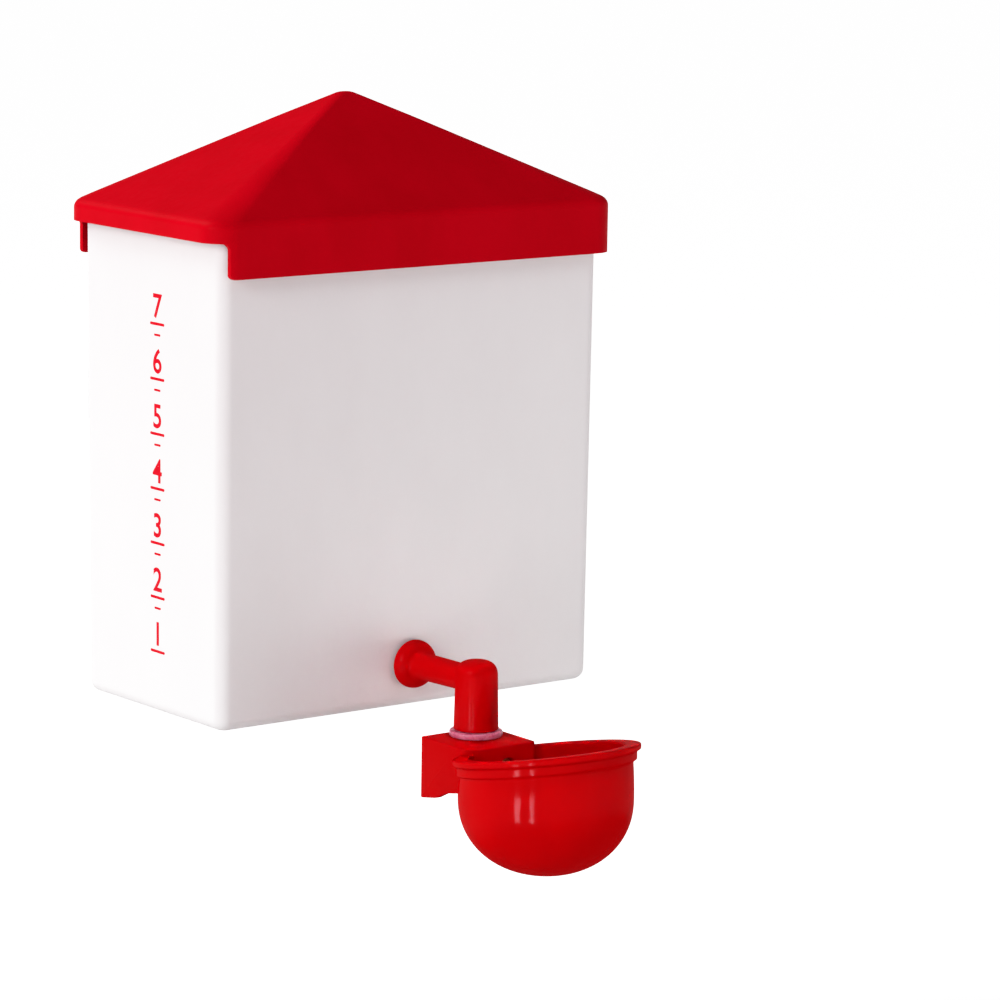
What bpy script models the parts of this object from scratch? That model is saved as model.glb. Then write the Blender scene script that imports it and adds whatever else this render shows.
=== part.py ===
"""Wall-hung poultry waterer: box tank, pyramid lid, outlet elbow and a drinking cup with a float valve.

Sizes are given in millimetres and turned into metres by MM.
Drawing frame: X across the tank, Y from the tank's front face towards the wall, Z up from the tank's base.
The frame empty moves that drawing so that the wall rail's back face is the origin of the finished part.
"""
import math

import bmesh
import bpy
from mathutils import Matrix, Vector

MM = 0.001
FIT = 0.3                      # gap kept between pieces that rest on each other
WELD = 0.001                   # points closer than this are one point

# Tank
TANK_W = 200.0                 # outside width at the rim
TANK_D = 107.8                 # outside depth at the rim
TANK_H = 216.5
TANK_WALL = 2.5
TANK_FLOOR = 3.0
TANK_CORNER = 5.5              # plan radius of the upright edges
BASE_ROUND = 5.0               # radius of the edge round the base
SIDE_DRAFT = 0.0035            # inward lean of the side faces, per unit of height
FACE_DRAFT = 0.0058            # inward lean of the front and back faces
MID_Y = TANK_D / 2

# Lid
EAVE_X = 6.5                   # overhang beyond the tank's sides
EAVE_Y = 5.4                   # overhang beyond the tank's front and back
LID_CORNER = 12.0
LID_WALL = 2.2
SKIRT_DEEP_Z = 192.9           # lower edge of the skirt at the front, right and back
SKIRT_SHORT_Z = 207.9          # lower edge on the left, which leaves a finger lift
NOTCH_X = -98.6                # where the short skirt steps down to the deep one
FOLD_Z = 216.4                 # height of the fold between skirt and roof
APEX_Z = 264.9                 # where the four roof planes would meet
LID_HALF_X = TANK_W / 2 + EAVE_X
LID_HALF_Y = TANK_D / 2 + EAVE_Y
RIB_THICK = 2.0

# Wall rail and the tank's hooks
WALL_Y = 116.0                 # the wall's face
RAIL_LENGTH = 184.0
RAIL_SHEET = 1.5
RAIL_BASE_Z = 118.0
RAIL_TOP_Z = 143.0
RAIL_LIP_Z = 127.0
RAIL_LIP_Y = 109.6
RAIL_MID_Z = (RAIL_BASE_Z + RAIL_TOP_Z) / 2
HOOK_X = 50.0
HOOK_LENGTH = 44.0
HOOK_THICK = 2.2
HOOK_SHELF_Z = 129.0
HOOK_TOP_Z = 132.5
STANDOFF_X = 60.0
STANDOFF_Z = 28.0
SCREW_X = 82.0
SCREW_Z = 135.0
SCREW_SHANK_R = 2.0
SCREW_HEAD_R = 4.3
SCREW_HEAD_H = 2.8
SCREW_REACH = 18.0             # length of the shank behind the wall's face
SCREW_HOLE_R = 2.3

# Outlet
OUTLET_Z = 19.3
FLANGE_R = 10.6
FLANGE_FRONT_Y = -7.0
FLANGE_BACK_Y = -0.45
SPIGOT_R = 6.0
SPIGOT_END_Y = 16.0
SPIGOT_HOLE_R = 6.5
WATER_BORE_R = 3.5
TUBE_R_FLANGE = 5.85
TUBE_R_LEG = 5.5
LEG_Y = -46.5                  # axis of the upright leg, on which the cup swivels
LEG_TOP_Z = 28.9
LEG_SHOULDER_Z = 21.5
LEG_DOME_POWER = 2.8           # squareness of the leg's domed top
LEG_BASE_Z = -0.9
LEG_R_TOP = 8.95
LEG_R_BASE = 9.55
SOCKET_R = 5.3
SOCKET_TOP_Z = 12.0
NUT_FLATS = 19.0

# Swivel joint between the leg and the cup
SEAT_Z = -4.1
GASKET_R = 11.7
GASKET_HIGH_Z = -1.15
GASKET_LOW_Z = -3.85
NIPPLE_R = 4.85
NIPPLE_BORE_R = 2.8
NIPPLE_TOP_Z = 10.0
NIPPLE_BASE_Z = -13.5
NIPPLE_THREAD_R = 4.6
O_RING_Z = 5.0
O_RING_SECTION = 0.65

# Cup
BOWL_Y = -95.5                 # bowl axis
RIM_Z = -1.3                   # rim height on the bowl axis
RIM_SLOPE = 0.18               # the rim climbs towards the bird
RIM_R = 39.5
RIM_THICK = 2.0
OPENING_R = 32.4
RIM_FACE = 2.8                 # height of the rim's outer face
BEAD_R = 37.9
RECESS_R = 37.3
BEAD_TOP = -3.5                # heights below the rim
BEAD_BASE = -6.9
NECK_R = 36.1
BELLY_R = 36.6
BELLY_Z = -23.5
BOWL_BASE_Z = -53.6
BOWL_WALL = 2.2
BOWL_POWER = 2.12              # squareness of the bowl's underside
BLOCK_X = (-20.5, 14.8)
BLOCK_BACK_Y = -35.0
BLOCK_FRONT_Y = -69.0
BLOCK_TOP_BACK_Z = -4.6
BLOCK_TOP_FRONT_Z = -3.5
BLOCK_CORNER = 4.5             # radius of the block's upright front edges
BLOCK_WALL = 2.2

# Valve
VALVE_Z = -14.0
VALVE_BORE_R = 4.3
SEAT_R = 4.0
SEAT_BACK_Y = -52.3
SEAT_FRONT_Y = -66.5
SEAT_FLOOR_Y = -56.0
ORIFICE_R = 1.2
CHAMBER_R = 2.9
PLUNGER_R = 2.4
PLUNGER_FRONT_Y = -70.5
PLUNGER_BACK_Y = -60.0
RUBBER_FRONT_Y = -59.8
RUBBER_BACK_Y = -58.2
PIVOT_Y = -73.5
PIVOT_Z = -19.5
PIN_R = 1.5
PIN_HOLE_R = 1.65
PIN_HALF = 7.8
HUB_R = 2.7
LEVER_HALF = 3.2
EAR_X = (3.6, 6.3)
NOSE_R = 1.5
NOSE_Y = PIVOT_Y + 1.2

# Float
FLOAT_Y = -97.0
FLOAT_R = 19.0
FLOAT_TOP_Z = -31.5
FLOAT_BASE_Z = -44.5
STEM_R = 1.8
PAD_THICK = 1.8


# ---------------------------------------------------------------- helpers

def material(name, colour, roughness, metallic=0.0):
    """A Principled material of one colour."""
    made = bpy.data.materials.new(name)
    made.use_nodes = True
    shader = made.node_tree.nodes["Principled BSDF"]
    shader.inputs["Base Color"].default_value = (*colour, 1.0)
    shader.inputs["Roughness"].default_value = roughness
    shader.inputs["Metallic"].default_value = metallic
    made.diffuse_color = (*colour, 1.0)
    return made


def empty(name, place, parent=None):
    """An empty at a point of the drawing frame, which carries a body."""
    made = bpy.data.objects.new(name, None)
    bpy.context.collection.objects.link(made)
    made.parent = parent
    made.location = Vector(place) * MM - drawing_place(parent)
    made["place"] = [axis * MM for axis in place]
    return made


def drawing_place(parent):
    """Where a parent empty stands in the drawing frame, in metres."""
    return Vector(parent["place"]) if parent else Vector((0, 0, 0))


def piece(name, bm, made_of, parent):
    """Turn a bmesh drawn in millimetres into a named object carried by an empty."""
    bmesh.ops.recalc_face_normals(bm, faces=bm.faces)
    bmesh.ops.scale(bm, vec=(MM, MM, MM), verts=bm.verts)
    bmesh.ops.translate(bm, vec=-drawing_place(parent), verts=bm.verts)
    mesh = bpy.data.meshes.new(name)
    bm.to_mesh(mesh)
    bm.free()
    mesh.shade_smooth()
    mesh.set_sharp_from_angle(angle=math.radians(35))
    made = bpy.data.objects.new(name, mesh)
    bpy.context.collection.objects.link(made)
    made.parent = parent
    if made_of:
        mesh.materials.append(made_of)
    return made


def tool(name, bm, target, operation):
    """Join a shape to a piece, or cut it away, with a Boolean."""
    shape = piece(name, bm, None, target.parent)
    shape.hide_render = True
    shape.display_type = "WIRE"
    step = target.modifiers.new(name, "BOOLEAN")
    step.operation = operation
    step.object = shape
    weld = target.modifiers.new(name + "_weld", "WELD")
    weld.merge_threshold = WELD * MM
    return shape


def join(name, bm, target):
    return tool(name, bm, target, "UNION")


def cut(name, bm, target):
    return tool(name, bm, target, "DIFFERENCE")


def revolved(section, centre=(0, 0, 0), axis="Z", steps=48):
    """Solid of revolution of (radius, distance along the axis) points."""
    bm = bmesh.new()
    line = [bm.verts.new((radius, 0, along)) for radius, along in section]
    edges = [bm.edges.new(pair) for pair in zip(line, line[1:])]
    if section[0][0] > 0 or section[-1][0] > 0:
        edges.append(bm.edges.new((line[-1], line[0])))
    bmesh.ops.spin(bm, geom=line + edges, cent=(0, 0, 0), axis=(0, 0, 1), angle=math.tau,
                   steps=steps, use_merge=True)
    bmesh.ops.remove_doubles(bm, verts=bm.verts, dist=1e-4)
    turn = {"Z": Matrix.Rotation(math.pi / steps, 4, "Z"), "Y": Matrix.Rotation(-math.pi / 2, 4, "X"),
            "X": Matrix.Rotation(math.pi / 2, 4, "Y")}[axis]
    bmesh.ops.transform(bm, matrix=Matrix.Translation(centre) @ turn, verts=bm.verts)
    return bm


def tube_section(inner, outer, low, high):
    return [(inner, low), (outer, low), (outer, high), (inner, high)]


def rod_section(radius, low, high, chamfer=0.0):
    """Section of a round bar whose ends are chamfered."""
    return [(0, low), (radius - chamfer, low), (radius, low + chamfer),
            (radius, high - chamfer), (radius - chamfer, high), (0, high)]


def plain_rod(radius, low, high):
    return [(0, low), (radius, low), (radius, high), (0, high)]


def lofted(rings):
    """Closed solid through rings of equal point counts, with both ends capped."""
    bm = bmesh.new()
    loops = [[bm.verts.new(point) for point in ring] for ring in rings]
    for low, high in zip(loops, loops[1:]):
        for here in range(len(low)):
            there = (here + 1) % len(low)
            bm.faces.new((low[here], low[there], high[there], high[here]))
    bm.faces.new(list(reversed(loops[0])))
    bm.faces.new(loops[-1])
    return bm


def rounded_ring(half_x, half_y, radius, height, arc_steps=6):
    """Rounded rectangle about the tank's middle, at one height."""
    radius = max(min(radius, half_x * 0.95, half_y * 0.95), 0.2)
    points = []
    for quarter in range(4):
        sign_x = 1 if quarter in (0, 3) else -1
        sign_y = 1 if quarter in (0, 1) else -1
        middle = Vector((sign_x * (half_x - radius), MID_Y + sign_y * (half_y - radius)))
        for step in range(arc_steps + 1):
            angle = (quarter + step / arc_steps) * math.pi / 2
            points.append((middle.x + radius * math.cos(angle), middle.y + radius * math.sin(angle), height))
    return points


def block(low, high, bevel=0.0):
    """Box between two corners, with its edges bevelled."""
    bm = bmesh.new()
    bmesh.ops.create_cube(bm, size=1.0)
    low, high = Vector(low), Vector(high)
    bmesh.ops.scale(bm, vec=high - low, verts=bm.verts)
    bmesh.ops.translate(bm, vec=(low + high) / 2, verts=bm.verts)
    if bevel:
        bmesh.ops.bevel(bm, geom=bm.edges[:], offset=bevel, segments=2, profile=0.5, affect="EDGES")
    return bm


def extruded(outline, low, high, along="X"):
    """Prism of an outline: (y, z) points along X, or (x, z) points along Y."""
    def place(point, depth):
        return (depth, point[0], point[1]) if along == "X" else (point[0], depth, point[1])
    return lofted([[place(point, depth) for point in outline] for depth in (low, high)])


def arc(centre, radius, start, end, steps=5):
    """Points on an arc, angles in degrees."""
    angles = [math.radians(start + (end - start) * step / steps) for step in range(steps + 1)]
    return [(centre[0] + radius * math.cos(angle), centre[1] + radius * math.sin(angle)) for angle in angles]


def quarter_turn(steps):
    """Angles from nothing to a quarter turn."""
    return [step / steps * math.pi / 2 for step in range(steps + 1)]


# ---------------------------------------------------------------- tank

def tank_half(height):
    """Half width and half depth of the tank's outside at a height."""
    drop = TANK_H - height
    return TANK_W / 2 - SIDE_DRAFT * drop, TANK_D / 2 - FACE_DRAFT * drop


def tank_rings():
    """Rings up the outside, over the rim and down the inside."""
    rings = []
    for step in range(7):
        angle = step / 6 * math.pi / 2
        inset = BASE_ROUND * (1 - math.sin(angle))
        height = BASE_ROUND * (1 - math.cos(angle))
        half_x, half_y = tank_half(height)
        rings.append(rounded_ring(half_x - inset, half_y - inset, TANK_CORNER - inset * 0.8, height))
    half_x, half_y = tank_half(TANK_H)
    rings.append(rounded_ring(half_x, half_y, TANK_CORNER, TANK_H - 0.5))
    rings.append(rounded_ring(half_x - 0.5, half_y - 0.5, TANK_CORNER - 0.5, TANK_H))
    for inset, height in ((0.5, TANK_H), (0, TANK_H - 0.5), (0, TANK_FLOOR + 3), (0.9, TANK_FLOOR + 0.9),
                          (3, TANK_FLOOR)):
        half_x, half_y = tank_half(height)
        shrink = TANK_WALL + inset if height < TANK_H else TANK_WALL - inset
        rings.append(rounded_ring(half_x - shrink, half_y - shrink, TANK_CORNER - TANK_WALL, height))
    return rings


def tank_front_y(height):
    return FACE_DRAFT * (TANK_H - height)


def build_tank(body, plastic):
    tank = piece("tank_body", lofted(tank_rings()), plastic, body)
    lip_low_z = RAIL_BASE_Z + RAIL_SHEET + FIT
    back_y = TANK_D - tank_front_y(HOOK_SHELF_Z)
    root_y = back_y - TANK_WALL / 2
    tip_y = (RAIL_LIP_Y + RAIL_SHEET + WALL_Y - RAIL_SHEET + HOOK_THICK) / 2
    hook = [(root_y, HOOK_SHELF_Z), (tip_y - HOOK_THICK, HOOK_SHELF_Z), (tip_y - HOOK_THICK, lip_low_z),
            (tip_y, lip_low_z), (tip_y, HOOK_TOP_Z), (root_y, HOOK_TOP_Z)]
    for side, sign in (("left", -1), ("right", 1)):
        middle = sign * HOOK_X
        join("hook_" + side, extruded(hook, middle - HOOK_LENGTH / 2, middle + HOOK_LENGTH / 2), tank)
        foot_y = TANK_D - tank_front_y(STANDOFF_Z) - TANK_WALL / 2
        foot = revolved(rod_section(7.0, foot_y, WALL_Y - FIT, 0.8), (sign * STANDOFF_X, 0, STANDOFF_Z), "Y", 32)
        join("standoff_" + side, foot, tank)
    cut("outlet_hole", revolved(plain_rod(SPIGOT_HOLE_R, -5, 10), (0, 0, OUTLET_Z), "Y"), tank)


# ---------------------------------------------------------------- lid

def roof_rings(half_x, half_y, corner, fold_z, apex_z, low_z):
    """Skirt and roof outside (or inside) from the skirt's lower edge to just under the apex."""
    rise = apex_z - fold_z
    rings = [rounded_ring(half_x, half_y, corner, low_z)]
    for step in range(5):
        turn = step / 4
        height = fold_z - 3.0 * (1 - turn) ** 2 + 1.6 * turn ** 2
        inset = 1.6 * turn ** 2 / rise
        rings.append(rounded_ring(half_x * (1 - inset), half_y * (1 - inset), corner, height))
    for step in range(1, 8):
        climb = (1.6 + (rise - 4.1) * step / 7) / rise
        left = 1 - climb
        rings.append(rounded_ring(half_x * left, half_y * left, max(corner * left, 3.0), fold_z + rise * climb))
    for left, under in ((0.030, 1.75), (0.010, 1.5)):
        rings.append(rounded_ring(half_x * left, half_y * left, 3.0, apex_z - under))
    return rings


def notch_outline():
    """Cut that leaves the short skirt on the left, with its corners rounded."""
    inner_r, outer_r = 3.0, 2.0
    top = arc((NOTCH_X - inner_r, SKIRT_SHORT_Z - inner_r), inner_r, 90, 0)
    foot = arc((NOTCH_X + outer_r, SKIRT_DEEP_Z + outer_r), outer_r, 180, 270)
    beyond = -LID_HALF_X - 10
    return [(beyond, SKIRT_SHORT_Z)] + top + foot + [(NOTCH_X + outer_r, SKIRT_DEEP_Z - 10),
                                                    (beyond, SKIRT_DEEP_Z - 10)]


def lid_ribs():
    """Low and high corners of the ribs that centre the lid on the tank."""
    reach = LID_WALL - 1.0
    half = RIB_THICK / 2
    for x in (-60, 60):
        for face in (-1, 1):
            inner = MID_Y + face * (LID_HALF_Y - reach)
            tip = MID_Y + face * (TANK_D / 2 + 0.4)
            yield (x - half, min(inner, tip), SKIRT_DEEP_Z + 3), (x + half, max(inner, tip), FOLD_Z - 1.6)
    for y in (MID_Y - 24, MID_Y + 24):
        for face, foot in ((-1, SKIRT_SHORT_Z + 1.5), (1, SKIRT_DEEP_Z + 3)):
            inner = face * (LID_HALF_X - reach)
            tip = face * (TANK_W / 2 + 0.4)
            yield (min(inner, tip), y - half, foot), (max(inner, tip), y + half, FOLD_Z - 1.6)


def build_lid(body, plastic):
    outside = roof_rings(LID_HALF_X, LID_HALF_Y, LID_CORNER, FOLD_Z, APEX_Z, SKIRT_DEEP_Z)
    inside = roof_rings(LID_HALF_X - LID_WALL, LID_HALF_Y - LID_WALL, LID_CORNER - LID_WALL, FOLD_Z - 1.4,
                        APEX_Z - 3.2, SKIRT_DEEP_Z)
    shell = lofted(list(reversed(outside)) + inside)
    lid = piece("lid", shell, plastic, body)
    cut("finger_lift", extruded(notch_outline(), -EAVE_Y - 10, TANK_D + EAVE_Y + 10, "Y"), lid)
    for number, (low, high) in enumerate(lid_ribs()):
        join("rib_%d" % number, block(low, high), lid)


# ---------------------------------------------------------------- wall rail

def build_rail(body, steel):
    inner_y = WALL_Y - RAIL_SHEET
    outline = [(WALL_Y, RAIL_BASE_Z + 1), (WALL_Y, RAIL_TOP_Z), (inner_y, RAIL_TOP_Z),
               (inner_y, RAIL_BASE_Z + RAIL_SHEET), (RAIL_LIP_Y + RAIL_SHEET, RAIL_BASE_Z + RAIL_SHEET),
               (RAIL_LIP_Y + RAIL_SHEET, RAIL_LIP_Z), (RAIL_LIP_Y, RAIL_LIP_Z), (RAIL_LIP_Y, RAIL_BASE_Z + 1),
               (RAIL_LIP_Y + 1, RAIL_BASE_Z), (WALL_Y - 1, RAIL_BASE_Z)]
    rail = piece("wall_rail", extruded(outline, -RAIL_LENGTH / 2, RAIL_LENGTH / 2), steel, body)
    head_y = inner_y - 0.2
    for side, sign in (("left", -1), ("right", 1)):
        centre = (sign * SCREW_X, 0, SCREW_Z)
        cut("screw_hole_" + side, revolved(plain_rod(SCREW_HOLE_R, WALL_Y - 5, WALL_Y + 5), centre, "Y", 32), rail)
        section = [(0, head_y - SCREW_HEAD_H), (2.2, head_y - SCREW_HEAD_H + 0.25),
                   (3.6, head_y - SCREW_HEAD_H + 1.0), (SCREW_HEAD_R, head_y - 0.9), (SCREW_HEAD_R, head_y),
                   (SCREW_SHANK_R, head_y), (SCREW_SHANK_R, WALL_Y + SCREW_REACH - 5),
                   (0, WALL_Y + SCREW_REACH)]
        piece("rail_screw_" + side, revolved(section, centre, "Y", 32), steel, body)


# ---------------------------------------------------------------- outlet

def build_outlet(body, plastic, rubber, hardware):
    wall_y = tank_front_y(OUTLET_Z)
    centre = (0, 0, OUTLET_Z)
    widest_y = FLANGE_BACK_Y - 1.2
    button = [(TUBE_R_FLANGE + (FLANGE_R - TUBE_R_FLANGE) * math.sin(angle),
               widest_y + (FLANGE_FRONT_Y - widest_y) * math.cos(angle)) for angle in quarter_turn(7)]
    section = [(0, LEG_Y), (TUBE_R_LEG, LEG_Y)] + button
    section += [(FLANGE_R - 0.5, FLANGE_BACK_Y), (SPIGOT_R, FLANGE_BACK_Y), (SPIGOT_R, SPIGOT_END_Y - 0.8),
                (SPIGOT_R - 0.8, SPIGOT_END_Y), (0, SPIGOT_END_Y)]
    elbow = piece("outlet_elbow", revolved(section, centre, "Y"), plastic, body)
    power = 2 / LEG_DOME_POWER
    dome = [(LEG_R_TOP * math.cos(angle) ** power,
             LEG_SHOULDER_Z + (LEG_TOP_Z - LEG_SHOULDER_Z) * math.sin(angle) ** power)
            for angle in quarter_turn(8)[:-1]]
    leg = [(0, LEG_BASE_Z), (LEG_R_BASE, LEG_BASE_Z)] + dome + [(0, LEG_TOP_Z)]
    join("leg", revolved(leg, (0, LEG_Y, 0)), elbow)
    cut("outlet_bore", revolved(plain_rod(WATER_BORE_R, LEG_Y - 0.7, SPIGOT_END_Y + 2), centre, "Y", 32), elbow)
    drop_r = WATER_BORE_R + 0.5
    socket = [(0, LEG_BASE_Z - 2), (SOCKET_R, LEG_BASE_Z - 2), (SOCKET_R, SOCKET_TOP_Z),
              (drop_r, SOCKET_TOP_Z), (drop_r, OUTLET_Z + WATER_BORE_R + 0.3),
              (0, OUTLET_Z + WATER_BORE_R + 0.3)]
    cut("leg_socket", revolved(socket, (0, LEG_Y, 0), "Z", 32), elbow)

    piece("outer_washer", revolved(tube_section(SPIGOT_R + FIT, 9.2, FLANGE_BACK_Y + FIT, wall_y - FIT),
                                   centre, "Y"), rubber, body)
    inner_y = wall_y + TANK_WALL + FIT
    piece("inner_washer", revolved(tube_section(SPIGOT_R + FIT, 10.0, inner_y, inner_y + 1.2), centre, "Y"),
          rubber, body)
    nut_y = inner_y + 1.2 + FIT
    corner_r = NUT_FLATS / 2 / math.cos(math.pi / 6)
    outline = [(corner_r * math.cos(math.tau * k / 6), OUTLET_Z + corner_r * math.sin(math.tau * k / 6))
               for k in range(6)]
    nut = piece("bulkhead_nut", extruded(outline, nut_y, nut_y + 6.0, "Y"), hardware, body)
    cut("nut_bore", revolved(plain_rod(SPIGOT_R + FIT, nut_y - 2, nut_y + 8), centre, "Y"), nut)


# ---------------------------------------------------------------- swivel

def build_swivel(body, gasket_rubber, rubber, plastic):
    centre = (0, LEG_Y, 0)
    gasket = [(SOCKET_R, GASKET_LOW_Z), (GASKET_R, GASKET_LOW_Z), (GASKET_R, GASKET_HIGH_Z - 0.9),
              (GASKET_R - 0.9, GASKET_HIGH_Z), (SOCKET_R, GASKET_HIGH_Z)]
    piece("swivel_gasket", revolved(gasket, centre), gasket_rubber, body)
    groove_r = NIPPLE_R - 1.05
    nipple = [(NIPPLE_BORE_R, NIPPLE_BASE_Z), (NIPPLE_THREAD_R, NIPPLE_BASE_Z), (NIPPLE_THREAD_R, SEAT_Z),
              (NIPPLE_R, SEAT_Z), (NIPPLE_R, O_RING_Z - 0.9), (groove_r, O_RING_Z - 0.9),
              (groove_r, O_RING_Z + 0.9), (NIPPLE_R, O_RING_Z + 0.9), (NIPPLE_R, NIPPLE_TOP_Z - 0.8),
              (NIPPLE_R - 0.8, NIPPLE_TOP_Z), (NIPPLE_BORE_R, NIPPLE_TOP_Z)]
    piece("inlet_nipple", revolved(nipple, centre, "Z", 32), plastic, body)
    ring = arc((groove_r + 0.1 + O_RING_SECTION, O_RING_Z), O_RING_SECTION, 0, 330, 11)
    piece("nipple_o_ring", revolved(ring, centre, "Z", 32), rubber, body)


# ---------------------------------------------------------------- cup

def bowl_section():
    """(radius, height, share of the rim's slope) from the outside of the base to the inside of the base."""
    def underside(radius, base_z, steps):
        rows = []
        for step in range(1, steps):
            angle = step / (steps - 1) * math.pi / 2
            across = radius * math.sin(angle) ** (2 / BOWL_POWER)
            down = (BELLY_Z - base_z) * math.cos(angle) ** (2 / BOWL_POWER)
            rows.append((across, BELLY_Z - down, 0.0))
        return rows

    outside = underside(BELLY_R, BOWL_BASE_Z, 13)
    neck_z = RIM_Z + BEAD_BASE
    wall = [(BELLY_R + (NECK_R - BELLY_R) * share, BELLY_Z + (neck_z - BELLY_Z) * share, share)
            for share in (0.25, 0.5, 0.75, 1.0)]
    rim = [(BEAD_R, BEAD_BASE + 0.15), (BEAD_R + 0.05, BEAD_BASE + 0.5), (BEAD_R, BEAD_TOP),
           (RECESS_R, BEAD_TOP + 0.1), (RECESS_R, -RIM_FACE - 0.1), (RIM_R - 0.3, -RIM_FACE),
           (RIM_R, -RIM_FACE + 0.4), (RIM_R, -0.6), (RIM_R - 0.6, 0), (OPENING_R + 0.6, 0), (OPENING_R, -0.6),
           (OPENING_R + 0.2, -RIM_THICK), (NECK_R - BOWL_WALL, BEAD_TOP)]
    rim = [(radius, RIM_Z + below, 1.0) for radius, below in rim]
    inner_wall = [(BELLY_R - BOWL_WALL + (NECK_R - BELLY_R) * share, BELLY_Z + (neck_z - BELLY_Z) * share, share)
                  for share in (0.75, 0.5, 0.25)]
    inside = list(reversed(underside(BELLY_R - BOWL_WALL, BOWL_BASE_Z + BOWL_WALL, 13)))
    return outside + wall + rim + inner_wall + inside


def bowl(steps=72):
    """Bowl with its slanted rim: rings round the axis, closed at both centres of the base."""
    rings = []
    for radius, height, slope in bowl_section():
        ring = []
        for step in range(steps):
            angle = math.tau * step / steps
            forward = -radius * math.sin(angle)
            ring.append((radius * math.cos(angle), BOWL_Y - forward, height + slope * RIM_SLOPE * forward))
        rings.append(ring)
    return lofted(rings)


def block_outline():
    """Side view of the valve block: its underside steps up towards the bowl."""
    return [(BLOCK_BACK_Y, BLOCK_TOP_BACK_Z), (BLOCK_BACK_Y, -30.8), (-44.3, -29.2), (-46.6, -28.6),
            (-49.2, -27.3), (-51.8, -26.0), (-54.2, -25.2), (BLOCK_FRONT_Y, -22.4),
            (BLOCK_FRONT_Y, BLOCK_TOP_FRONT_Z)]


def build_cup(body, plastic):
    cup = piece("cup_body", bowl(), plastic, body)
    left, right = BLOCK_X
    shape = extruded(block_outline(), left, right)
    upright = [edge for edge in shape.edges
               if all(abs(vert.co.y - BLOCK_FRONT_Y) < WELD for vert in edge.verts)
               and abs(edge.verts[0].co.x - edge.verts[1].co.x) < WELD]
    bmesh.ops.bevel(shape, geom=upright, offset=BLOCK_CORNER, segments=4, profile=0.5, affect="EDGES")
    join("valve_block", shape, cup)
    cut("block_hollow", block((left + BLOCK_WALL, -57.0, -40), (right - BLOCK_WALL, BLOCK_BACK_Y - BLOCK_WALL, -7.0)),
        cup)
    join("inlet_boss", revolved(plain_rod(7.4, -19.5, -5.5), (0, LEG_Y, 0), "Z", 40), cup)
    join("valve_boss", revolved(plain_rod(6.4, -62.0, LEG_Y), (0, 0, VALVE_Z), "Y", 40), cup)
    join("gasket_boss", revolved(plain_rod(GASKET_R + 0.5, -6.0, SEAT_Z), (0, LEG_Y, 0), "Z", 48), cup)
    cut("gasket_seat", revolved(plain_rod(GASKET_R + 0.4, SEAT_Z, 4), (0, LEG_Y, 0), "Z", 48), cup)
    cut("inlet_bore", revolved(plain_rod(NIPPLE_THREAD_R + 0.25, -17.0, 2), (0, LEG_Y, 0), "Z", 32), cup)
    channel = [(0, LEG_Y - 1), (2.2, LEG_Y - 1), (2.2, SEAT_BACK_Y + FIT), (VALVE_BORE_R, SEAT_BACK_Y + FIT),
               (VALVE_BORE_R, BLOCK_FRONT_Y - 4), (0, BLOCK_FRONT_Y - 4)]
    cut("valve_bore", revolved(channel, (0, 0, VALVE_Z), "Y", 36), cup)
    for side, sign in (("left", -1), ("right", 1)):
        low_x, high_x = sorted((sign * EAR_X[0], sign * EAR_X[1]))
        ear = [(BLOCK_FRONT_Y + 1, -22.2), (BLOCK_FRONT_Y + 1, -18.8), (BLOCK_FRONT_Y - 1, -16.8)]
        ear += arc((PIVOT_Y, PIVOT_Z), 3.4, 90, 270, 8)
        join("pin_ear_" + side, extruded(ear, low_x, high_x), cup)
    pin_hole = revolved(plain_rod(PIN_HOLE_R, -PIN_HALF - 2, PIN_HALF + 2), (0, PIVOT_Y, PIVOT_Z), "X", 32)
    cut("pin_hole", pin_hole, cup)


# ---------------------------------------------------------------- valve and float

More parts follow.
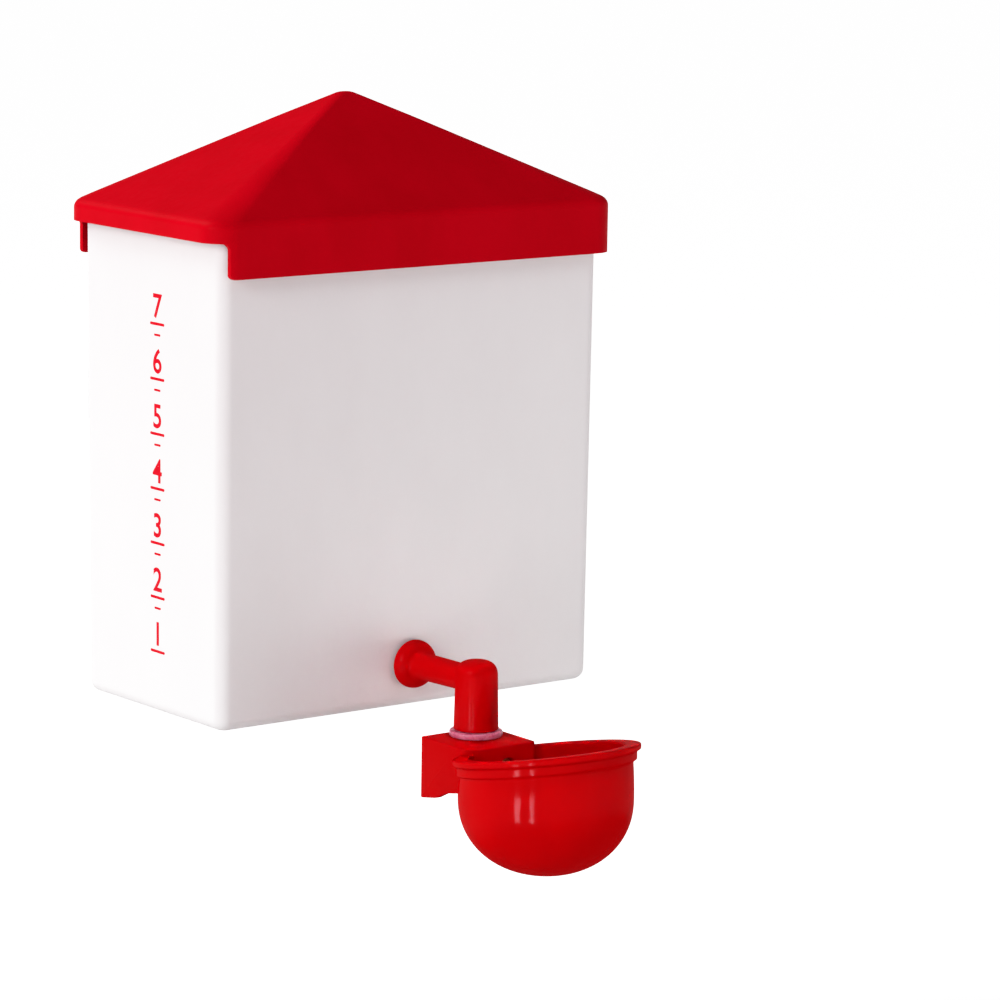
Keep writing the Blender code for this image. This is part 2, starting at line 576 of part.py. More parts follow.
def build_valve(body, valve_body, float_body, plastic, brass, steel, rubber):
    axis = (0, 0, VALVE_Z)
    seat = [(ORIFICE_R, SEAT_BACK_Y), (SEAT_R, SEAT_BACK_Y), (SEAT_R, -53.1), (2.9, -53.1), (2.9, -54.7),
            (SEAT_R, -54.7), (SEAT_R, SEAT_FRONT_Y), (CHAMBER_R, SEAT_FRONT_Y), (CHAMBER_R, SEAT_FLOOR_Y),
            (ORIFICE_R, SEAT_FLOOR_Y)]
    piece("valve_seat", revolved(seat, axis, "Y", 32), brass, body)
    ring = arc((3.6, -53.9), 0.58, 0, 330, 11)
    piece("seat_o_ring", revolved(ring, axis, "Y", 32), rubber, body)
    piece("lever_pin", revolved(rod_section(PIN_R, -PIN_HALF, PIN_HALF, 0.3), (0, PIVOT_Y, PIVOT_Z), "X", 32),
          steel, body)
    plunger = [(0, PLUNGER_FRONT_Y), (PLUNGER_R - 0.6, PLUNGER_FRONT_Y), (PLUNGER_R, PLUNGER_FRONT_Y + 0.6),
               (PLUNGER_R, PLUNGER_BACK_Y), (0, PLUNGER_BACK_Y)]
    piece("valve_plunger", revolved(plunger, axis, "Y", 32), plastic, valve_body)
    piece("plunger_rubber", revolved(plain_rod(PLUNGER_R, RUBBER_FRONT_Y, RUBBER_BACK_Y), axis, "Y", 32),
          rubber, valve_body)

    pad_low = FLOAT_TOP_Z + FIT
    pad_high = pad_low + PAD_THICK
    lever_line = [(-76.0, -21.4), (-88.4, pad_low), (-104.0, pad_low), (-104.0, pad_high), (-87.6, pad_high),
                  (-75.2, -19.2), (NOSE_Y - 1.4, VALVE_Z + 0.4), (NOSE_Y + 0.6, VALVE_Z - 1.0), (-71.6, -19.6),
                  (-73.0, -21.6)]
    lever = piece("float_lever", extruded(lever_line, -LEVER_HALF, LEVER_HALF), plastic, float_body)
    join("lever_nose", revolved(plain_rod(NOSE_R, -LEVER_HALF + 0.2, LEVER_HALF - 0.2), (0, NOSE_Y, VALVE_Z), "X", 24),
         lever)
    join("lever_hub", revolved(plain_rod(HUB_R, -LEVER_HALF + 0.1, LEVER_HALF - 0.1), (0, PIVOT_Y, PIVOT_Z), "X", 32),
         lever)
    cut("hub_bore", revolved(plain_rod(PIN_HOLE_R, -5, 5), (0, PIVOT_Y, PIVOT_Z), "X", 32), lever)
    cut("stem_hole", revolved(plain_rod(STEM_R + FIT, -36, -20), (0, FLOAT_Y, 0), "Z", 24), lever)

    buoy = [(0, FLOAT_BASE_Z), (FLOAT_R - 6, FLOAT_BASE_Z)]
    buoy += [(FLOAT_R - 6 + x, FLOAT_BASE_Z + 6 + z) for x, z in arc((0, 0), 6, -75, 0)]
    buoy += [(FLOAT_R - 3 + x, FLOAT_TOP_Z - 3 + z) for x, z in arc((0, 0), 3, 0, 75)]
    buoy += [(FLOAT_R - 3, FLOAT_TOP_Z), (STEM_R, FLOAT_TOP_Z), (STEM_R, pad_high + 2.2), (0, pad_high + 2.2)]
    piece("float", revolved(buoy, (0, FLOAT_Y, 0)), plastic, float_body)
    cap = [(STEM_R + 0.15, pad_high + FIT), (4.0, pad_high + FIT), (4.0, pad_high + 1.2), (3.2, pad_high + 1.8),
           (STEM_R + 0.15, pad_high + 1.8)]
    piece("float_clip", revolved(cap, (0, FLOAT_Y, 0), "Z", 32), steel, float_body)


# ---------------------------------------------------------------- assembly

def main():
    for old in list(bpy.data.objects):
        bpy.data.objects.remove(old, do_unlink=True)

    white = material("tank_white", (0.86, 0.85, 0.85), 0.42)
    lid_red = material("lid_red", (0.56, 0.0, 0.008), 0.4)
    cup_red = material("cup_red", (0.62, 0.0, 0.0), 0.18)
    float_white = material("float_white", (0.85, 0.84, 0.80), 0.35)
    nut_red = material("nut_red", (0.50, 0.0, 0.0), 0.35)
    clear_rubber = material("gasket_clear", (0.80, 0.50, 0.56), 0.3)
    black_rubber = material("black_rubber", (0.03, 0.03, 0.03), 0.6)
    steel = material("zinc_steel", (0.60, 0.61, 0.62), 0.35, 1.0)
    brass = material("brass", (0.72, 0.53, 0.24), 0.3, 1.0)

    rail_body = empty("frame", (0, 0, 0))
    rail_body.location = Vector((0, -WALL_Y, -RAIL_MID_Z)) * MM
    tank_body = empty("tank_lift", (0, 0, 0), rail_body)
    lid_body = empty("lid_lift", (0, MID_Y, FOLD_Z), tank_body)
    cup_body = empty("cup_swivel", (0, LEG_Y, 0), tank_body)
    lever_body = empty("lever_pivot", (0, PIVOT_Y, PIVOT_Z), cup_body)
    plunger_body = empty("plunger_slide", (0, PLUNGER_BACK_Y, VALVE_Z), cup_body)

    build_rail(rail_body, steel)
    build_tank(tank_body, white)
    build_lid(lid_body, lid_red)
    build_outlet(tank_body, cup_red, black_rubber, nut_red)
    build_swivel(cup_body, clear_rubber, black_rubber, cup_red)
    build_cup(cup_body, cup_red)
    build_valve(cup_body, plunger_body, lever_body, float_white, brass, steel, black_rubber)


main()
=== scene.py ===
"""Looks of the wall-hung poultry waterer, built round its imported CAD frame.

Pieces are drawn in millimetres in the CAD's drawing frame (X across the tank, Y from the top of the tank's
front face towards the wall, Z up from the tank's base) and moved into the frame's metres by new_object().
"""
import math

import bmesh
import bpy
import numpy as np
from mathutils import Matrix, Vector


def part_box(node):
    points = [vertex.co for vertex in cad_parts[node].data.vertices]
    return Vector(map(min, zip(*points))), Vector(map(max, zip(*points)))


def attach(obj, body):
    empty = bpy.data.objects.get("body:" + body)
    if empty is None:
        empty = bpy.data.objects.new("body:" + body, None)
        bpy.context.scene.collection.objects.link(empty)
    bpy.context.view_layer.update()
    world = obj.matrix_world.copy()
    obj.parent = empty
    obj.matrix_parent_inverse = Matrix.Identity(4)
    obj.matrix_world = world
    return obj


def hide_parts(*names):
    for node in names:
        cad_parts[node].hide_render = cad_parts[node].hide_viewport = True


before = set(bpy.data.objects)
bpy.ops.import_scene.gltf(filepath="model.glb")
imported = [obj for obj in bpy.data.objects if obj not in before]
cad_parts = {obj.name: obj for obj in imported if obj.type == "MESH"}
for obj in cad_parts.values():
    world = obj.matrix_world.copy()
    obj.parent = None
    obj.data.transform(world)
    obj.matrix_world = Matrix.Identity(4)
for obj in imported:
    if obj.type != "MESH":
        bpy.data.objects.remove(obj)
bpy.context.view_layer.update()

MM = 0.001
TANK_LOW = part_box("tank_body")[0]
ORIGIN = Vector((0.0, TANK_LOW.y, TANK_LOW.z))     # the drawing frame's zero, in metres

# Tank
TANK_W, TANK_D, TANK_H = 200.0, 107.8, 216.5
TANK_WALL, TANK_FLOOR = 2.5, 3.0
TANK_CORNER, BASE_ROUND = 5.5, 5.0
SIDE_DRAFT, FACE_DRAFT = 0.0035, 0.0058
MID_Y = TANK_D / 2
LIP_STEPS = 13                 # rings round the base and round the lip

# Lid
EAVE_X, EAVE_Y = 6.5, 5.4
LID_CORNER, LID_WALL = 12.0, 2.2
SKIRT_DEEP_Z, SKIRT_SHORT_Z, NOTCH_X = 192.9, 207.9, -98.6
FOLD_Z, APEX_Z = 216.4, 264.9
LID_HALF_X, LID_HALF_Y = TANK_W / 2 + EAVE_X, TANK_D / 2 + EAVE_Y

# Wall rail and hooks
WALL_Y = 116.0
RAIL_HALF, RAIL_SHEET = 92.0, 1.5
RAIL_BASE_Z, RAIL_TOP_Z, RAIL_LIP_Z, RAIL_LIP_Y = 118.0, 143.0, 127.0, 109.6
HOOK_X, HOOK_LENGTH, HOOK_THICK, HOOK_SHELF_Z, HOOK_TOP_Z = 50.0, 44.0, 2.2, 129.0, 132.5
STANDOFF_X, STANDOFF_Z = 60.0, 28.0
SCREW_X, SCREW_Z, SCREW_HOLE_R, THREAD_LENGTH = 82.0, 135.0, 2.3, 15.8

# Outlet
OUTLET_Z = 19.3
FLANGE_R, FLANGE_FRONT_Y, FLANGE_BACK_Y = 10.6, -7.0, -0.45
SPIGOT_R, SPIGOT_END_Y, SPIGOT_HOLE_R = 6.0, 16.0, 6.5
SPIGOT_THREAD_Y, SPIGOT_THREAD_PITCH = 4.6, 1.5
WATER_BORE_R = 3.5
TUBE_R_FLANGE, TUBE_R_LEG, TUBE_RISE = 5.95, 5.6, 0.6
LEG_Y, LEG_TOP_Z, LEG_SHOULDER_Z, LEG_BASE_Z = -46.5, 28.9, 21.5, -0.9
LEG_R_TOP, LEG_R_BASE = 9.1, 9.6
SOCKET_R, SOCKET_TOP_Z = 5.3, 12.0
NUT_FLATS, NUT_THICK, WASHER_THICK = 19.0, 6.0, 1.2

# Swivel joint
SEAT_Z = -4.1
GASKET_R, GASKET_HIGH_Z, GASKET_LOW_Z = 11.4, -1.3, -3.85
NIPPLE_R, NIPPLE_BORE_R, NIPPLE_TOP_Z, NIPPLE_BASE_Z = 4.85, 2.8, 10.0, -13.5
O_RING_Z, O_RING_SECTION = 5.0, 0.65

# Cup
BOWL_Y, RIM_Z, RIM_SLOPE = -95.5, -1.3, 0.18
RIM_R, OPENING_R, RIM_FACE, RIM_THICK = 39.5, 32.4, 2.8, 2.0
BEAD_R, RECESS_R, BEAD_TOP, BEAD_BASE = 37.9, 37.75, -3.5, -6.9
NECK_R, BELLY_R, BELLY_Z, BOWL_BASE_Z, BOWL_WALL, BOWL_POWER = 36.4, 36.95, -21.4, -53.6, 2.2, 2.14
BLOCK_LEFT, BLOCK_RIGHT, BLOCK_BACK_Y, BLOCK_FRONT_Y = -20.5, 14.8, -35.0, -69.0
BLOCK_TOP_BACK_Z, BLOCK_TOP_FRONT_Z, BLOCK_BLEND, BLOCK_CORNER, BLOCK_WALL = -3.9, -4.1, 9.0, 1.2, 2.2

# Valve and float
VALVE_Z, VALVE_BORE_R = -14.0, 4.3
SEAT_R, SEAT_BACK_Y, SEAT_FRONT_Y, SEAT_FLOOR_Y, ORIFICE_R, CHAMBER_R = 4.0, -52.3, -66.5, -56.0, 1.2, 2.9
PLUNGER_R, PLUNGER_FRONT_Y, PLUNGER_BACK_Y = 2.4, -70.5, -60.0
PIVOT_Y, PIVOT_Z, PIN_R, PIN_HOLE_R, PIN_HALF, HUB_R, LEVER_HALF = -73.5, -19.5, 1.5, 1.65, 7.8, 2.7, 3.2
FLOAT_Y, FLOAT_R, FLOAT_TOP_Z, FLOAT_BASE_Z, STEM_R, PAD_THICK = -97.0, 19.0, -31.5, -44.5, 1.8, 1.8
PLUNGER_WAIST_R, PAD_BACK_Y, PAD_FRONT_Y = 1.9, -58.2, -59.8
FLOAT_SEAM_Z = -38.6
FIT = 0.3                      # clearance between neighbours

# Level marks
MARK_Y = 49.0                  # middle of the marks on the left face
PINT_HEIGHT = 23.6             # rise of the water for one pint
PINTS = 7
PRINT_THICK, FIGURE_SIZE = 0.06, 14.5

# Meshes
SHARP = math.radians(35)       # angle from which an edge is shaded sharp
WELD = 1e-6                    # metres
RING_ARC_STEPS, RING_SIDE_POINTS, BOWL_STEPS = 14, 10, 176
JOIN, CUT, OVERLAP = "UNION", "DIFFERENCE", "INTERSECT"

# Stage: the camera in metres from the drawing frame's zero and in degrees, the floor in the frame's metres
CAMERA_PLACE, CAMERA_TURN, CAMERA_LENS = (-1.0958, -1.4854, 0.4118), (37.57, 9.842, 0.863), 156.37
FLOOR_Y, FLOOR_DROP = 8.0, 0.45
DIM_X, DIM_Y = 0.35, -0.55     # where the floor glows least


# ---- mesh helpers

def linked(name, data):
    made = bpy.data.objects.new(name, data)
    bpy.context.collection.objects.link(made)
    return made


def shaded(mesh):
    mesh.shade_smooth()
    mesh.set_sharp_from_angle(angle=SHARP)


def evaluated_mesh(made):
    """Copy of an object's mesh, with its modifiers or its curve applied."""
    bpy.context.view_layer.update()
    return bpy.data.meshes.new_from_object(made.evaluated_get(bpy.context.evaluated_depsgraph_get()))


def new_object(name, bm):
    """Object from a bmesh drawn in millimetres, moved into the frame's metres."""
    bmesh.ops.recalc_face_normals(bm, faces=bm.faces)
    bmesh.ops.scale(bm, vec=(MM, MM, MM), verts=bm.verts)
    bmesh.ops.translate(bm, vec=ORIGIN, verts=bm.verts)
    mesh = bpy.data.meshes.new(name)
    bm.to_mesh(mesh)
    bm.free()
    shaded(mesh)
    return linked(name, mesh)


def from_arrays(points, faces):
    """Bmesh from an array of points and an array of faces."""
    mesh = bpy.data.meshes.new("arrays")
    mesh.from_pydata(np.asarray(points, float).tolist(), [], np.asarray(faces, int).tolist())
    bm = bmesh.new()
    bm.from_mesh(mesh)
    bpy.data.meshes.remove(mesh)
    return bm


def settle(made, body, finish, nodes=()):
    """Give a piece its material and its body, and hide the CAD nodes that it stands for."""
    made.data.materials.clear()
    made.data.materials.append(finish)
    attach(made, body)
    if nodes:
        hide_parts(*nodes)
    return made


def apply_booleans(made, steps):
    """Join or cut shapes in order; each step is (operation, bmesh). The result is written to the mesh."""
    shapes = []
    for number, (operation, bm) in enumerate(steps):
        shape = new_object("shape_%d" % number, bm)
        shapes.append(shape)
        step = made.modifiers.new("step", "BOOLEAN")
        step.operation = operation
        step.solver = "EXACT"
        step.object = shape
        weld = made.modifiers.new("weld", "WELD")
        weld.merge_threshold = WELD
    result = evaluated_mesh(made)
    old = made.data
    made.modifiers.clear()
    made.data = result
    result.name = old.name
    bpy.data.meshes.remove(old)
    for shape in shapes:
        bpy.data.meshes.remove(shape.data)
    shaded(result)
    return made


def revolved(section, centre=(0, 0, 0), axis="Z", steps=96):
    """Solid of revolution of (radius, distance along the axis) points."""
    section = np.asarray(section, float)
    closed = section[0, 0] > 0 or section[-1, 0] > 0
    bm = bmesh.new()
    line = [bm.verts.new((radius, 0, along)) for radius, along in section]
    edges = [bm.edges.new(pair) for pair in zip(line, line[1:])]
    if closed:
        edges.append(bm.edges.new((line[-1], line[0])))
    bmesh.ops.spin(bm, geom=line + edges, cent=(0, 0, 0), axis=(0, 0, 1), angle=math.tau,
                   steps=steps, use_merge=True)
    bmesh.ops.remove_doubles(bm, verts=bm.verts, dist=1e-4)
    turn = {"Z": Matrix.Rotation(math.pi / steps, 4, "Z"), "Y": Matrix.Rotation(-math.pi / 2, 4, "X"),
            "X": Matrix.Rotation(math.pi / 2, 4, "Y")}[axis]
    bmesh.ops.transform(bm, matrix=Matrix.Translation(centre) @ turn, verts=bm.verts)
    return bm


def softened(points, radius, steps=4, closed=False):
    """Outline with its corners rounded; radius is one number or one for each point."""
    points = [np.asarray(point, float) for point in points]
    count = len(points)
    radii = [radius] * count if np.isscalar(radius) else list(radius)
    out = []
    for here in range(count):
        if (not closed and here in (0, count - 1)) or radii[here] <= 0:
            out.append(points[here])
            continue
        before, after = points[here - 1], points[(here + 1) % count]
        back, ahead = before - points[here], after - points[here]
        size_back, size_ahead = np.linalg.norm(back), np.linalg.norm(ahead)
        back, ahead = back / size_back, ahead / size_ahead
        half = math.acos(max(-1.0, min(1.0, float(back @ ahead)))) / 2
        if half > math.radians(88):
            out.append(points[here])
            continue
        reach = min(radii[here] / math.tan(half), 0.48 * size_back, 0.48 * size_ahead)
        bend = reach * math.tan(half)
        middle = points[here] + (back + ahead) / np.linalg.norm(back + ahead) * math.hypot(bend, reach)
        start, end = points[here] + back * reach, points[here] + ahead * reach
        first, last = (math.atan2(*(point - middle)[::-1]) for point in (start, end))
        sweep = (last - first + math.pi) % math.tau - math.pi
        for step in range(steps + 1):
            angle = first + sweep * step / steps
            out.append(middle + bend * np.array((math.cos(angle), math.sin(angle))))
    return out


def lofted(rings):
    """Closed solid through rings of equal point counts."""
    rings = np.asarray(rings, float)
    count, size = rings.shape[:2]
    index = np.arange(count * size).reshape(count, size)
    low, high = index[:-1], index[1:]
    faces = np.stack([low, np.roll(low, -1, 1), np.roll(high, -1, 1), high], -1).reshape(-1, 4)
    bm = from_arrays(rings.reshape(-1, 3), faces)
    bm.verts.ensure_lookup_table()
    bm.faces.new([bm.verts[i] for i in reversed(index[0])])
    bm.faces.new([bm.verts[i] for i in index[-1]])
    return bm


def rounded_ring(half_x, half_y, radius, height):
    """Rounded rectangle about the tank's middle, at one height, with points along its sides."""
    radius = max(min(radius, half_x * 0.95, half_y * 0.95), 0.1)
    corners = [(1, 1), (-1, 1), (-1, -1), (1, -1)]
    points = []
    for quarter, (sign_x, sign_y) in enumerate(corners):
        middle = np.array((sign_x * (half_x - radius), MID_Y + sign_y * (half_y - radius)))
        turn = (quarter + np.linspace(0, 1, RING_ARC_STEPS + 1)) * math.pi / 2
        points.extend(middle + radius * np.stack([np.cos(turn), np.sin(turn)], 1))
        next_x, next_y = corners[(quarter + 1) % 4]
        following = np.array((next_x * (half_x - radius), MID_Y + next_y * (half_y - radius)))
        turn = (quarter + 1) * math.pi / 2
        start, end = points[-1], following + radius * np.array((math.cos(turn), math.sin(turn)))
        share = (1 - np.cos(np.linspace(0, math.pi, RING_SIDE_POINTS + 2)[1:-1])) / 2
        points.extend(start + (end - start) * share[:, None])
    return [(x, y, height) for x, y in points]


def extruded(outline, low, high, along="X"):
    """Prism of an outline: (y, z) points along X, or (x, z) points along Y."""
    def place(point, depth):
        return (depth, point[0], point[1]) if along == "X" else (point[0], depth, point[1])
    return lofted([[place(point, depth) for point in outline] for depth in (low, high)])


def bevelled(bm, width, segments=3, angle=40.0):
    """Round a solid's sharp edges."""
    bmesh.ops.recalc_face_normals(bm, faces=bm.faces)
    edges = [edge for edge in bm.edges if edge.is_manifold and edge.calc_face_angle(0) > math.radians(angle)]
    bmesh.ops.bevel(bm, geom=edges, offset=width, segments=segments, profile=0.5, affect="EDGES",
                    clamp_overlap=True)
    return bm


def block(low, high, bevel, segments=3):
    """Box between two corners, with rounded edges."""
    bm = bmesh.new()
    bmesh.ops.create_cube(bm, size=1.0)
    low, high = Vector(low), Vector(high)
    bmesh.ops.scale(bm, vec=high - low, verts=bm.verts)
    bmesh.ops.translate(bm, vec=(low + high) / 2, verts=bm.verts)
    return bevelled(bm, bevel, segments)


def rod(radius, low, high, bore=0):
    """Section of a plain cylinder or tube."""
    return [(bore, low), (radius, low), (radius, high), (bore, high)]


def arc(centre, radius, start, end, steps):
    angles = np.radians(np.linspace(start, end, steps + 1))
    return [(centre[0] + radius * math.cos(angle), centre[1] + radius * math.sin(angle)) for angle in angles]


# ---- materials

def put(node, values):
    """Set a node's inputs by name."""
    for name, value in values.items():
        node.inputs[name].default_value = value


def shader_of(name):
    """New material, its node tree and its Principled shader."""
    made = bpy.data.materials.new(name)
    made.use_nodes = True
    tree = made.node_tree
    shader = tree.nodes["Principled BSDF"]
    return made, tree, shader


def noise(tree, scale, detail=3.0, roughness=0.5, stretch=(1, 1, 1)):
    """Noise on object coordinates, with scale in cells per metre."""
    place = tree.nodes.new("ShaderNodeTexCoord")
    mapping = tree.nodes.new("ShaderNodeMapping")
    put(mapping, {"Scale": stretch})
    texture = tree.nodes.new("ShaderNodeTexNoise")
    put(texture, {"Scale": scale, "Detail": detail, "Roughness": roughness})
    tree.links.new(place.outputs["Object"], mapping.inputs["Vector"])
    tree.links.new(mapping.outputs["Vector"], texture.inputs["Vector"])
    return texture.outputs["Fac"]


def ramp(tree, source, stops):
    """Colour ramp over a value; stops are (position, colour)."""
    node = tree.nodes.new("ShaderNodeValToRGB")
    while len(node.color_ramp.elements) < len(stops):
        node.color_ramp.elements.new(0.5)
    for element, (position, colour) in zip(node.color_ramp.elements, stops):
        element.position = position
        element.color = (*colour, 1.0)
    tree.links.new(source, node.inputs["Fac"])
    return node.outputs["Color"]


def spread(tree, source, low, high, start=0.3, end=0.7):
    """Map a value from start-end to low-high."""
    node = tree.nodes.new("ShaderNodeMapRange")
    put(node, {"From Min": start, "From Max": end, "To Min": low, "To Max": high})
    tree.links.new(source, node.inputs["Value"])
    return node.outputs["Result"]


def bump(tree, source, height, strength, normal=None):
    """Bump whose relief is height metres."""
    node = tree.nodes.new("ShaderNodeBump")
    put(node, {"Distance": height, "Strength": strength})
    tree.links.new(source, node.inputs["Height"])
    if normal:
        tree.links.new(normal, node.inputs["Normal"])
    return node.outputs["Normal"]


def plastic(name, colour, darker, roughness, specular, grain=900, grain_height=0.00002, mottle=60,
            scuff=0.06, coat=0.0):
    """Moulded plastic: faint flow mottling, a fine mould grain and an uneven sheen."""
    made, tree, shader = shader_of(name)
    flow = noise(tree, mottle, 4.0, 0.55, (1.0, 1.0, 0.5))
    tree.links.new(ramp(tree, flow, [(0.35, darker), (0.65, colour)]), shader.inputs["Base Color"])
    wear = noise(tree, mottle * 5, 5.0, 0.65)
    tree.links.new(spread(tree, wear, roughness - scuff, roughness + scuff), shader.inputs["Roughness"])
    fine = noise(tree, grain, 2.0, 0.5)
    broad = noise(tree, grain / 9, 2.0, 0.5)
    first = bump(tree, broad, grain_height * 2.5, 0.6)
    tree.links.new(bump(tree, fine, grain_height, 0.8, first), shader.inputs["Normal"])
    put(shader, {"Specular IOR Level": specular, "Coat Weight": coat, "Coat Roughness": 0.08})
    return made


def deepened(finish, shade, direction, start, end):
    """Paint shade into a finish's colour: multiply it by a painted shade at start, fading to none at end,
    measured along a direction.
    """
    tree = finish.node_tree
    shader = tree.nodes["Principled BSDF"]
    place = tree.nodes.new("ShaderNodeTexCoord")
    along = tree.nodes.new("ShaderNodeVectorMath")
    along.operation = "DOT_PRODUCT"
    along.inputs[1].default_value = direction
    tree.links.new(place.outputs["Object"], along.inputs[0])
    share = spread(tree, along.outputs["Value"], 0.0, 1.0, start, end)
    mix = tree.nodes.new("ShaderNodeMixRGB")
    mix.blend_type = "MULTIPLY"
    put(mix, {"Fac": 1.0})
    tree.links.new(shader.inputs["Base Color"].links[0].from_socket, mix.inputs["Color1"])
    tree.links.new(ramp(tree, share, [(0.0, shade), (1.0, (1, 1, 1))]), mix.inputs["Color2"])
    tree.links.new(mix.outputs["Color"], shader.inputs["Base Color"])
    return finish


def metal(name, colour, darker, roughness, stretch, scratch=900):
    """Plated or turned metal with fine scratches along one direction and slight tarnish."""
    made, tree, shader = shader_of(name)
    put(shader, {"Metallic": 1.0})
    patches = noise(tree, 70, 5.0, 0.6)
    tree.links.new(ramp(tree, patches, [(0.3, darker), (0.7, colour)]), shader.inputs["Base Color"])
    lines = noise(tree, scratch, 3.0, 0.6, stretch)
    tree.links.new(spread(tree, lines, roughness - 0.08, roughness + 0.12), shader.inputs["Roughness"])
    tree.links.new(bump(tree, lines, 0.00001, 0.7), shader.inputs["Normal"])
    return made


def rubber(name, colour, darker, roughness):
    """Soft rubber with a matt bloom."""
    made, tree, shader = shader_of(name)
    bloom = noise(tree, 260, 4.0, 0.6)
    tree.links.new(ramp(tree, bloom, [(0.35, darker), (0.7, colour)]), shader.inputs["Base Color"])
    tree.links.new(spread(tree, bloom, roughness - 0.08, roughness + 0.08), shader.inputs["Roughness"])
    tree.links.new(bump(tree, noise(tree, 2200, 2.0), 0.00001, 0.8), shader.inputs["Normal"])
    return made


def all_finishes():
    finishes = {
        "tank_white": plastic("tank_white", (0.875, 0.860, 0.862), (0.855, 0.840, 0.842), 0.46, 0.12,
                              grain=750, grain_height=0.00005, mottle=35),
        "lid_red": plastic("lid_red", (0.475, 0.0, 0.006), (0.44, 0.0, 0.005), 0.42, 0.008,
                           grain=820, grain_height=0.00004, mottle=45),
        "cup_red": plastic("cup_red", (0.475, 0.0, 0.001), (0.445, 0.0, 0.001), 0.30, 0.0,
                           grain=420, grain_height=0.000008, mottle=70, scuff=0.04, coat=0.035),
        "nut_red": plastic("nut_red", (0.50, 0.0, 0.0), (0.44, 0.0, 0.0), 0.34, 0.25),
        "float_white": plastic("float_white", (0.85, 0.84, 0.80), (0.80, 0.79, 0.74), 0.34, 0.4,
                               grain=600, grain_height=0.00002, mottle=120),
        "print_red": plastic("print_red", (0.62, 0.0, 0.010), (0.57, 0.0, 0.010), 0.30, 0.02,
                             grain=1500, grain_height=0.00001, mottle=300),
        "black_rubber": rubber("black_rubber", (0.045, 0.045, 0.046), (0.025, 0.025, 0.026), 0.62),
        "zinc_steel": metal("zinc_steel", (0.66, 0.67, 0.68), (0.55, 0.57, 0.60), 0.34, (0.06, 1.0, 1.0)),
        "brass": metal("brass", (0.76, 0.57, 0.27), (0.66, 0.46, 0.20), 0.28, (1.0, 1.0, 1.0), 1400),
    }
    # Painted shade on the tank: darker and faintly pink towards the top and the -X side, fading out towards
    # the bottom and +X, standing in for shade and red light thrown back from the lid and cup
    deepened(finishes["tank_white"], (0.80, 0.755, 0.765), (2.0, 0, -2.8), -0.48, 0.72)
    gasket = rubber("gasket_clear", (0.64, 0.14, 0.245), (0.55, 0.10, 0.19), 0.28)
    put(gasket.node_tree.nodes["Principled BSDF"],
        {"Subsurface Weight": 0.25, "Subsurface Radius": (1.0, 0.35, 0.4), "Subsurface Scale": 0.002})
    finishes["gasket_clear"] = gasket
    return finishes


# ---- tank

def tank_half(height):
    """Half the tank's width and depth at a height."""
    drop = TANK_H - height
    return TANK_W / 2 - SIDE_DRAFT * drop, TANK_D / 2 - FACE_DRAFT * drop


def tank_front_y(height):
    return FACE_DRAFT * (TANK_H - height)


def tank_shell():
    """The box: a rounded base, drafted walls, a rolled lip and the inside."""
    rings = []
    for angle in np.linspace(0, math.pi / 2, LIP_STEPS):
        inset = BASE_ROUND * (1 - math.sin(angle))
        height = BASE_ROUND * (1 - math.cos(angle))
        half_x, half_y = tank_half(height)
        rings.append(rounded_ring(half_x - inset, half_y - inset, TANK_CORNER - inset * 0.8, height))
    for height in np.linspace(BASE_ROUND + 1, TANK_H - 1.6, 16):
        rings.append(rounded_ring(*tank_half(height), TANK_CORNER, height))
    half_x, half_y = tank_half(TANK_H)
    lip = TANK_WALL / 2
    for angle in np.linspace(0, math.pi, LIP_STEPS):
        inset = lip * (1 - math.cos(angle))
        rings.append(rounded_ring(half_x - inset, half_y - inset, TANK_CORNER - inset * 0.9,
                                  TANK_H - lip * (1 - math.sin(angle))))
    corner = TANK_CORNER - TANK_WALL * 0.9
    for height in np.linspace(TANK_H - 1.8, TANK_FLOOR + BASE_ROUND + 0.5, 12):
        half_x, half_y = tank_half(height)
        rings.append(rounded_ring(half_x - TANK_WALL, half_y - TANK_WALL, corner, height))
    for angle in np.linspace(0, math.pi / 2, 9)[1:]:
        height = TANK_FLOOR + BASE_ROUND * (1 - math.sin(angle))
        inset = TANK_WALL + BASE_ROUND * (1 - math.cos(angle))
        half_x, half_y = tank_half(height)
        rings.append(rounded_ring(half_x - inset, half_y - inset, max(corner - 1.5, 0.8), height))
    return lofted(rings)


